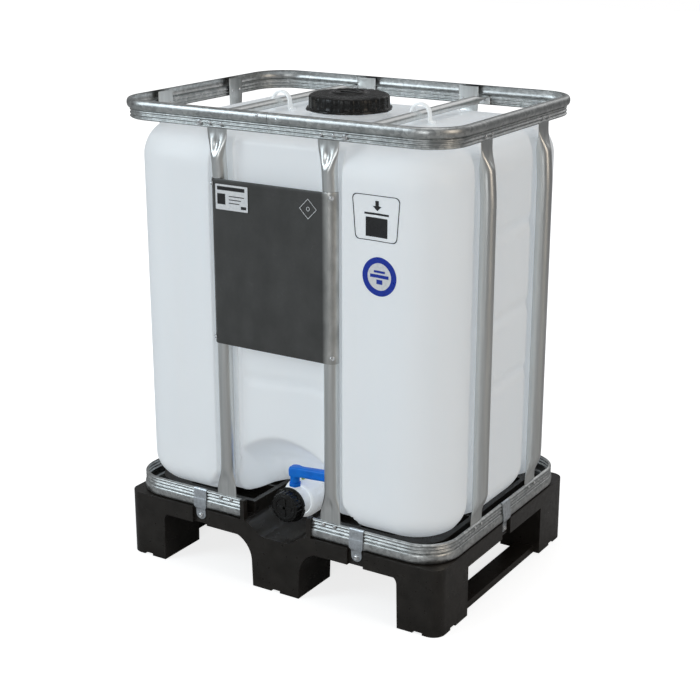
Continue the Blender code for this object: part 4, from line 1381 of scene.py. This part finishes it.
def valve(white):
    """Valve body with its stem boss, and the union nut."""
    profile = [
        (0.0255, 0.175), (0.037, 0.175), (0.0375, 0.1755), (0.0375, 0.1805), (0.037, 0.1812),
        (0.0325, 0.1825), (0.0325, 0.19), (0.0325, 0.234), (0.032, 0.2355), (0.031, 0.2365),
        (0.031, 0.244), (0.0302, 0.245), (0.031, 0.246), (0.031, 0.249), (0.0302, 0.25), (0.031, 0.251),
        (0.031, 0.257), (0.0303, 0.2577), (0.0172, 0.2577), (0.0165, 0.257), (0.0165, 0.2465),
        (0.0255, 0.2465),
    ]
    made = bare("valve_shell", moved(turned(profile, 72), forward()), 35.0)
    lift = Matrix.Translation((0, -STEM_FORWARD, 0))
    boss = [
        (0, 0.21), (0.015, 0.21), (0.0135, 0.216), (0.0125, 0.218), (0.0125, 0.2197), (0.0122, 0.22),
        (0, 0.22),
    ]
    combine(made, moved(turned(boss, 48), lift), "UNION")
    hole = [(0, 0.2), (0.0068, 0.2), (0.0068, 0.2165), (0.0096, 0.2165), (0.0096, 0.23), (0, 0.23)]
    combine(made, moved(turned(hole, 48), lift), "DIFFERENCE")
    dress(made, 35, 0.0003, 40.0)
    finish_piece(made, white, ("valve_body",))
    nut = [
        (0.0348, 0.1605), (0.0396, 0.1605), (0.0408, 0.1612), (0.0432, 0.1655), (0.044, 0.169),
        (0.044, 0.195), (0.0435, 0.1985), (0.0402, 0.205), (0.039, 0.2066), (0.0372, 0.2075),
        (0.0334, 0.2075), (0.0334, 0.183), (0.0382, 0.182), (0.0382, 0.1735), (0.0348, 0.1735),
    ]

    def grips(index, radius, height, angle):
        if index in (4, 5):
            radius -= 0.0012 * soft_step((abs(sin(3 * angle)) - 0.93) / 0.05)
        return radius, height

    shell = turned(nut, 144, grips)
    piece("union_nut_shell", shell, white, ("union_nut",), place=forward(), smooth=40.0)


def handle(blue):
    """The lever with its knuckle over the stem, closed at rest and pointing along +X, and the stem nut."""
    key = (
        (-0.0125, 0.0045, 0.2475, 0.257),
        (-0.0115, 0.0078, 0.244, 0.261),
        (-0.008, 0.0108, 0.242, 0.265),
        (-0.002, 0.0118, 0.242, 0.266),
        (0.006, 0.0118, 0.242, 0.2665),
        (0.013, 0.01, 0.243, 0.2662),
        (0.02, 0.009, 0.244, 0.2664),
        (0.055, 0.0098, 0.2462, 0.269),
        (0.085, 0.0104, 0.249, 0.2712),
        (0.093, 0.0098, 0.2502, 0.2713),
        (0.0962, 0.0076, 0.2525, 0.27),
        (0.097, 0.0045, 0.2555, 0.2665),
    )
    loops = []
    for here, there in zip(key, key[1:]):
        for part in range(3):
            share = part / 3
            x, half, low, high = [a + (b - a) * share for a, b in zip(here, there)]
            tall = (high - low) / 2
            section = rounded((0, (low + high) / 2), half, tall, min(0.0048, half * 0.9, tall * 0.9), 5)
            loops.append([(x, y, z) for y, z in section])
    x, half, low, high = key[-1]
    section = rounded((0, (low + high) / 2), half, (high - low) / 2, 0.004, 5)
    loops.append([(x, y, z) for y, z in section])
    made = bare("lever", loft(loops), 40.0)
    hub = [
        (0, 0.229), (0.01, 0.229), (0.0105, 0.2295), (0.0105, 0.24), (0.0112, 0.243), (0.0112, 0.25),
        (0, 0.25),
    ]
    combine(made, turned(hub, 40), "UNION")
    for side in (-1, 1):
        low, high = sorted((side * 0.0088, side * 0.013))
        slot = prism(rounded((0.052, (low + high) / 2), 0.03, (high - low) / 2, 0.0015, 4), 0.2535, 0.2625)
        combine(made, slot, "DIFFERENCE")
    dress(made, 40, 0.0004, 42.0)
    place = Matrix.Translation((0, -STEM_FORWARD, 0))
    finish_piece(made, blue, ("valve_handle",), "valve_drive", place)
    nut = [
        (0.008, 0.2203), (0.0132, 0.2203), (0.0138, 0.2209), (0.0138, 0.2279), (0.0132, 0.2285),
        (0.008, 0.2285),
    ]
    collar = turned(nut, 6)
    piece("stem_collar", collar, blue, ("stem_nut",), "root", place, 30.0, 0.0003)


def cap(look):
    """Dust cap with a notched rim, a thin rear flange and a raised cross in a ring on its face."""
    cup = [
        (0, 0.2615), (0.02, 0.2615), (0.0206, 0.262), (0.021, 0.2632), (0.0216, 0.2635), (0.0262, 0.2635),
        (0.0268, 0.263), (0.0272, 0.2622), (0.0285, 0.262), (0.0318, 0.262), (0.033, 0.2612),
        (0.0335, 0.26), (0.0335, 0.244), (0.0338, 0.242), (0.0384, 0.2412), (0.039, 0.2408),
        (0.039, 0.239), (0.0386, 0.2385), (0.0317, 0.2385), (0.0317, 0.2602), (0, 0.2602),
    ]

    def notches(index, radius, height, angle):
        if index in (9, 10, 11, 12):
            radius -= 0.0016 * soft_step((cos(18 * angle) - 0.35) / 0.35)
        if index in (14, 15, 16, 17):
            radius -= 0.002 * soft_step((cos(3 * angle) - 0.93) / 0.05)
        return radius, height

    arm = prism(rounded((0, 0), 0.0195, 0.0034, 0.0012, 3), 0.2612, 0.2634)
    cross = [arm, moved(arm, Matrix.Rotation(pi / 2, 4, "Z"))]
    shape = together(turned(cup, 216, notches), *cross)
    piece("cap_shell", shape, look, ("valve_cap",), "valve_cap", forward(), 35.0, 0.0003)


def small_screw(look):
    """The transit screw on the union nut."""
    place = Matrix.Translation((0.004, -0.195, VALVE_Z + 0.044 + GAP))
    sizes = (0.0038, 0.004, 0.0042, 0.002, 0.0)
    screw("nut_lock_screw", "transit_screw", sizes, place, look)


def ball(look):
    """The ball with its bore and the stem's slot."""
    edge = 90 - atan2(BALL_BORE, sqrt(BALL_RADIUS**2 - BALL_BORE**2)) * 180 / pi
    arc = []
    for step in range(33):
        angle = radians(-edge + 2 * edge * step / 32)
        arc.append((BALL_RADIUS * cos(angle), BALL_RADIUS * sin(angle)))
    place = Matrix.Translation((0, -STEM_FORWARD, VALVE_Z)) @ Matrix.Rotation(pi / 2, 4, "Y")
    made = bare("ball", moved(turned(arc, 72), place), 40.0)
    top = VALVE_Z + BALL_RADIUS
    low = (-0.012, -STEM_FORWARD - 0.0028, top - 0.0045)
    high = (0.012, -STEM_FORWARD + 0.0028, top + 0.01)
    slot = box_points(low, high)
    combine(made, slot, "DIFFERENCE")
    dress(made, 35, 0.0003, 40.0)
    finish_piece(made, look, ("valve_ball",), "valve_drive")


# Stage


def stage(look):
    """Pale floor, soft lights and the camera."""
    floor = bare("floor", prism([(-14, -14), (14, -14), (14, 14), (-14, 14)], -0.05, 0.0))
    floor.data.materials.append(look)
    world = bpy.data.worlds.new("studio")
    world.use_nodes = True
    bpy.context.scene.world = world
    tree = world.node_tree
    surround = tree.nodes["Background"]
    surround.inputs["Strength"].default_value = 1.0
    place = tree.nodes.new("ShaderNodeTexCoord")
    height = tree.nodes.new("ShaderNodeSeparateXYZ")
    tree.links.new(place.outputs["Generated"], height.inputs["Vector"])
    ramp = tree.nodes.new("ShaderNodeValToRGB")
    raised = tree.nodes.new("ShaderNodeMapRange")
    raised.inputs["From Min"].default_value = -1.0
    tree.links.new(height.outputs["Z"], raised.inputs["Value"])
    tree.links.new(raised.outputs["Result"], ramp.inputs["Fac"])
    stops = (
        (0.0, (0.2, 0.2, 0.2)),
        (0.47, (0.19, 0.19, 0.192)),
        (0.56, (0.21, 0.213, 0.217)),
        (0.72, (0.3, 0.307, 0.315)),
        (1.0, (0.36, 0.367, 0.375)),
    )
    for index, (at, tone) in enumerate(stops):
        element = ramp.color_ramp.elements[index] if index < 2 else ramp.color_ramp.elements.new(at)
        element.position = at
        element.color = (*tone, 1.0)
    tree.links.new(ramp.outputs["Color"], surround.inputs["Color"])
    seen = tree.nodes.new("ShaderNodeBackground")
    seen.inputs["Color"].default_value = (1.0, 1.0, 1.0, 1.0)
    path = tree.nodes.new("ShaderNodeLightPath")
    choose = tree.nodes.new("ShaderNodeMixShader")
    tree.links.new(path.outputs["Is Camera Ray"], choose.inputs["Fac"])
    tree.links.new(surround.outputs["Background"], choose.inputs[1])
    tree.links.new(seen.outputs["Background"], choose.inputs[2])
    tree.links.new(choose.outputs["Shader"], tree.nodes["World Output"].inputs["Surface"])
    lights = (
        ("key", (-2.6, -3.2, 2.6), 1.6, 2.6, 57.0, (0.82, 0.93, 1.0)),
        ("front", (0.9, -4.2, 1.6), 1.6, 2.2, 27.0, (0.96, 0.99, 1.0)),
        ("fill", (3.8, -0.6, 1.8), 1.4, 2.4, 23.0, (1.0, 0.86, 0.7)),
        ("top", (0.0, 0.4, 4.2), 2.6, 2.6, 22.0, (1.0, 1.0, 1.0)),
        ("back", (0.8, 3.6, 2.6), 2.6, 2.0, 11.0, (1.0, 1.0, 1.0)),
    )
    for name, where, size_x, size_y, power, colour in lights:
        lamp = bpy.data.lights.new(name, "AREA")
        lamp.shape = "RECTANGLE"
        lamp.size = size_x
        lamp.size_y = size_y
        lamp.energy = power
        lamp.color = colour
        made = bpy.data.objects.new(name, lamp)
        made.location = where
        aim = Vector((0, 0, 0.5)) - Vector(where)
        made.rotation_euler = aim.to_track_quat("-Z", "Y").to_euler()
        bpy.context.collection.objects.link(made)
    lens = bpy.data.cameras.new("camera")
    lens.lens = LENS
    lens.sensor_width = 36.0
    camera = bpy.data.objects.new("camera", lens)
    camera.location = CAMERA
    camera.rotation_euler = (radians(90 - CAMERA_PITCH), 0.0, radians(CAMERA_TURN))
    bpy.context.collection.objects.link(camera)
    bpy.context.scene.camera = camera
    bpy.context.scene.view_settings.view_transform = "Standard"


# Assembly

milky = tank_look()
spangled = band_look()
drawn = tube_look()
strap_zinc = zinc_look("zinc_strap", (0.66, 0.7, 0.74), 0.36)
bright_zinc = zinc_look("zinc_screw", (0.74, 0.75, 0.76), 0.26)
coated = plate_look()
pallet_dark = (0.012, 0.01, 0.008)
pallet_light = (0.024, 0.0205, 0.0175)
dark_pallet = plastic_look("pallet_plastic", pallet_dark, pallet_light, 0.32, 420.0, 0.05)
black = plastic_look("black_plastic", (0.0055, 0.0053, 0.005), (0.01, 0.0096, 0.009), 0.26, 600.0)
# glow=0.25 paints light into the white plastic, so the valve, union nut and clips stay bright in their
# shade.
white = plastic_look("white_plastic", (0.84, 0.88, 0.9), (0.92, 0.95, 0.96), 0.34, glow=0.25)
blue = plastic_look("blue_plastic", (0.002, 0.17, 0.74), (0.004, 0.24, 0.92), 0.34)
seat = plastic_look("seat_plastic", (0.8, 0.8, 0.77), (0.9, 0.9, 0.88), 0.3)
rubber = plastic_look("seal_rubber", (0.01, 0.01, 0.01), (0.022, 0.022, 0.022), 0.62, 800.0)
yellow = plastic_look("yellow_plastic", (0.42, 0.55, 0.05), (0.6, 0.72, 0.1), 0.42)
ink = print_look("print_black", (0.01, 0.01, 0.011), (0.02, 0.02, 0.021))
film_white = print_look("print_white", (0.74, 0.76, 0.78), (0.86, 0.87, 0.88))
film_blue = print_look("print_blue", (0.003, 0.028, 0.34), (0.006, 0.038, 0.42))

stage(floor_look())
tank(milky)
pallet(dark_pallet)
low_section = band_section(*BOTTOM_BAND, LOW_BULGE, False)
band("bottom_band", "bottom_ring", low_section, (OUTLET_GAP, -OUTLET_GAP), spangled)
high_section = band_section(*TOP_BAND, BULGE, True)
band("top_band", "top_ring", high_section, (SEAM + 0.0005, SEAM - 0.0005), spangled)
ring_rivets("top_rivets", TOP_BAND[0] + 0.0105, 0.0002, bright_zinc)
ring_rivets("bottom_rivets", BOTTOM_BAND[1] - 0.007, 0.0002, bright_zinc)
splice(spangled, bright_zinc)
uprights(drawn)
crossbars(drawn)
crossbar_bolts(bright_zinc)
clips(white)
clamps(strap_zinc, bright_zinc)
label_plate(coated, bright_zinc)
load_label(ink)
round_label(film_blue, film_white)
plate_labels(film_white, ink)
lid(black)
vent(black)
valve(white)
handle(blue)
cap(black)
small_screw(yellow)
ball(seat)

carried_over = (
    (seat, ("seat_front", "seat_rear", "valve_stem")),
    (rubber, ("lid_gasket", "vent_gasket", "cap_gasket", "outlet_gasket", "stem_oring")),
    (white, ("seat_retainer",)),
)
for look, nodes in carried_over:
    for node in nodes:
        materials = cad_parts[node].data.materials
        materials.clear()
        materials.append(look)
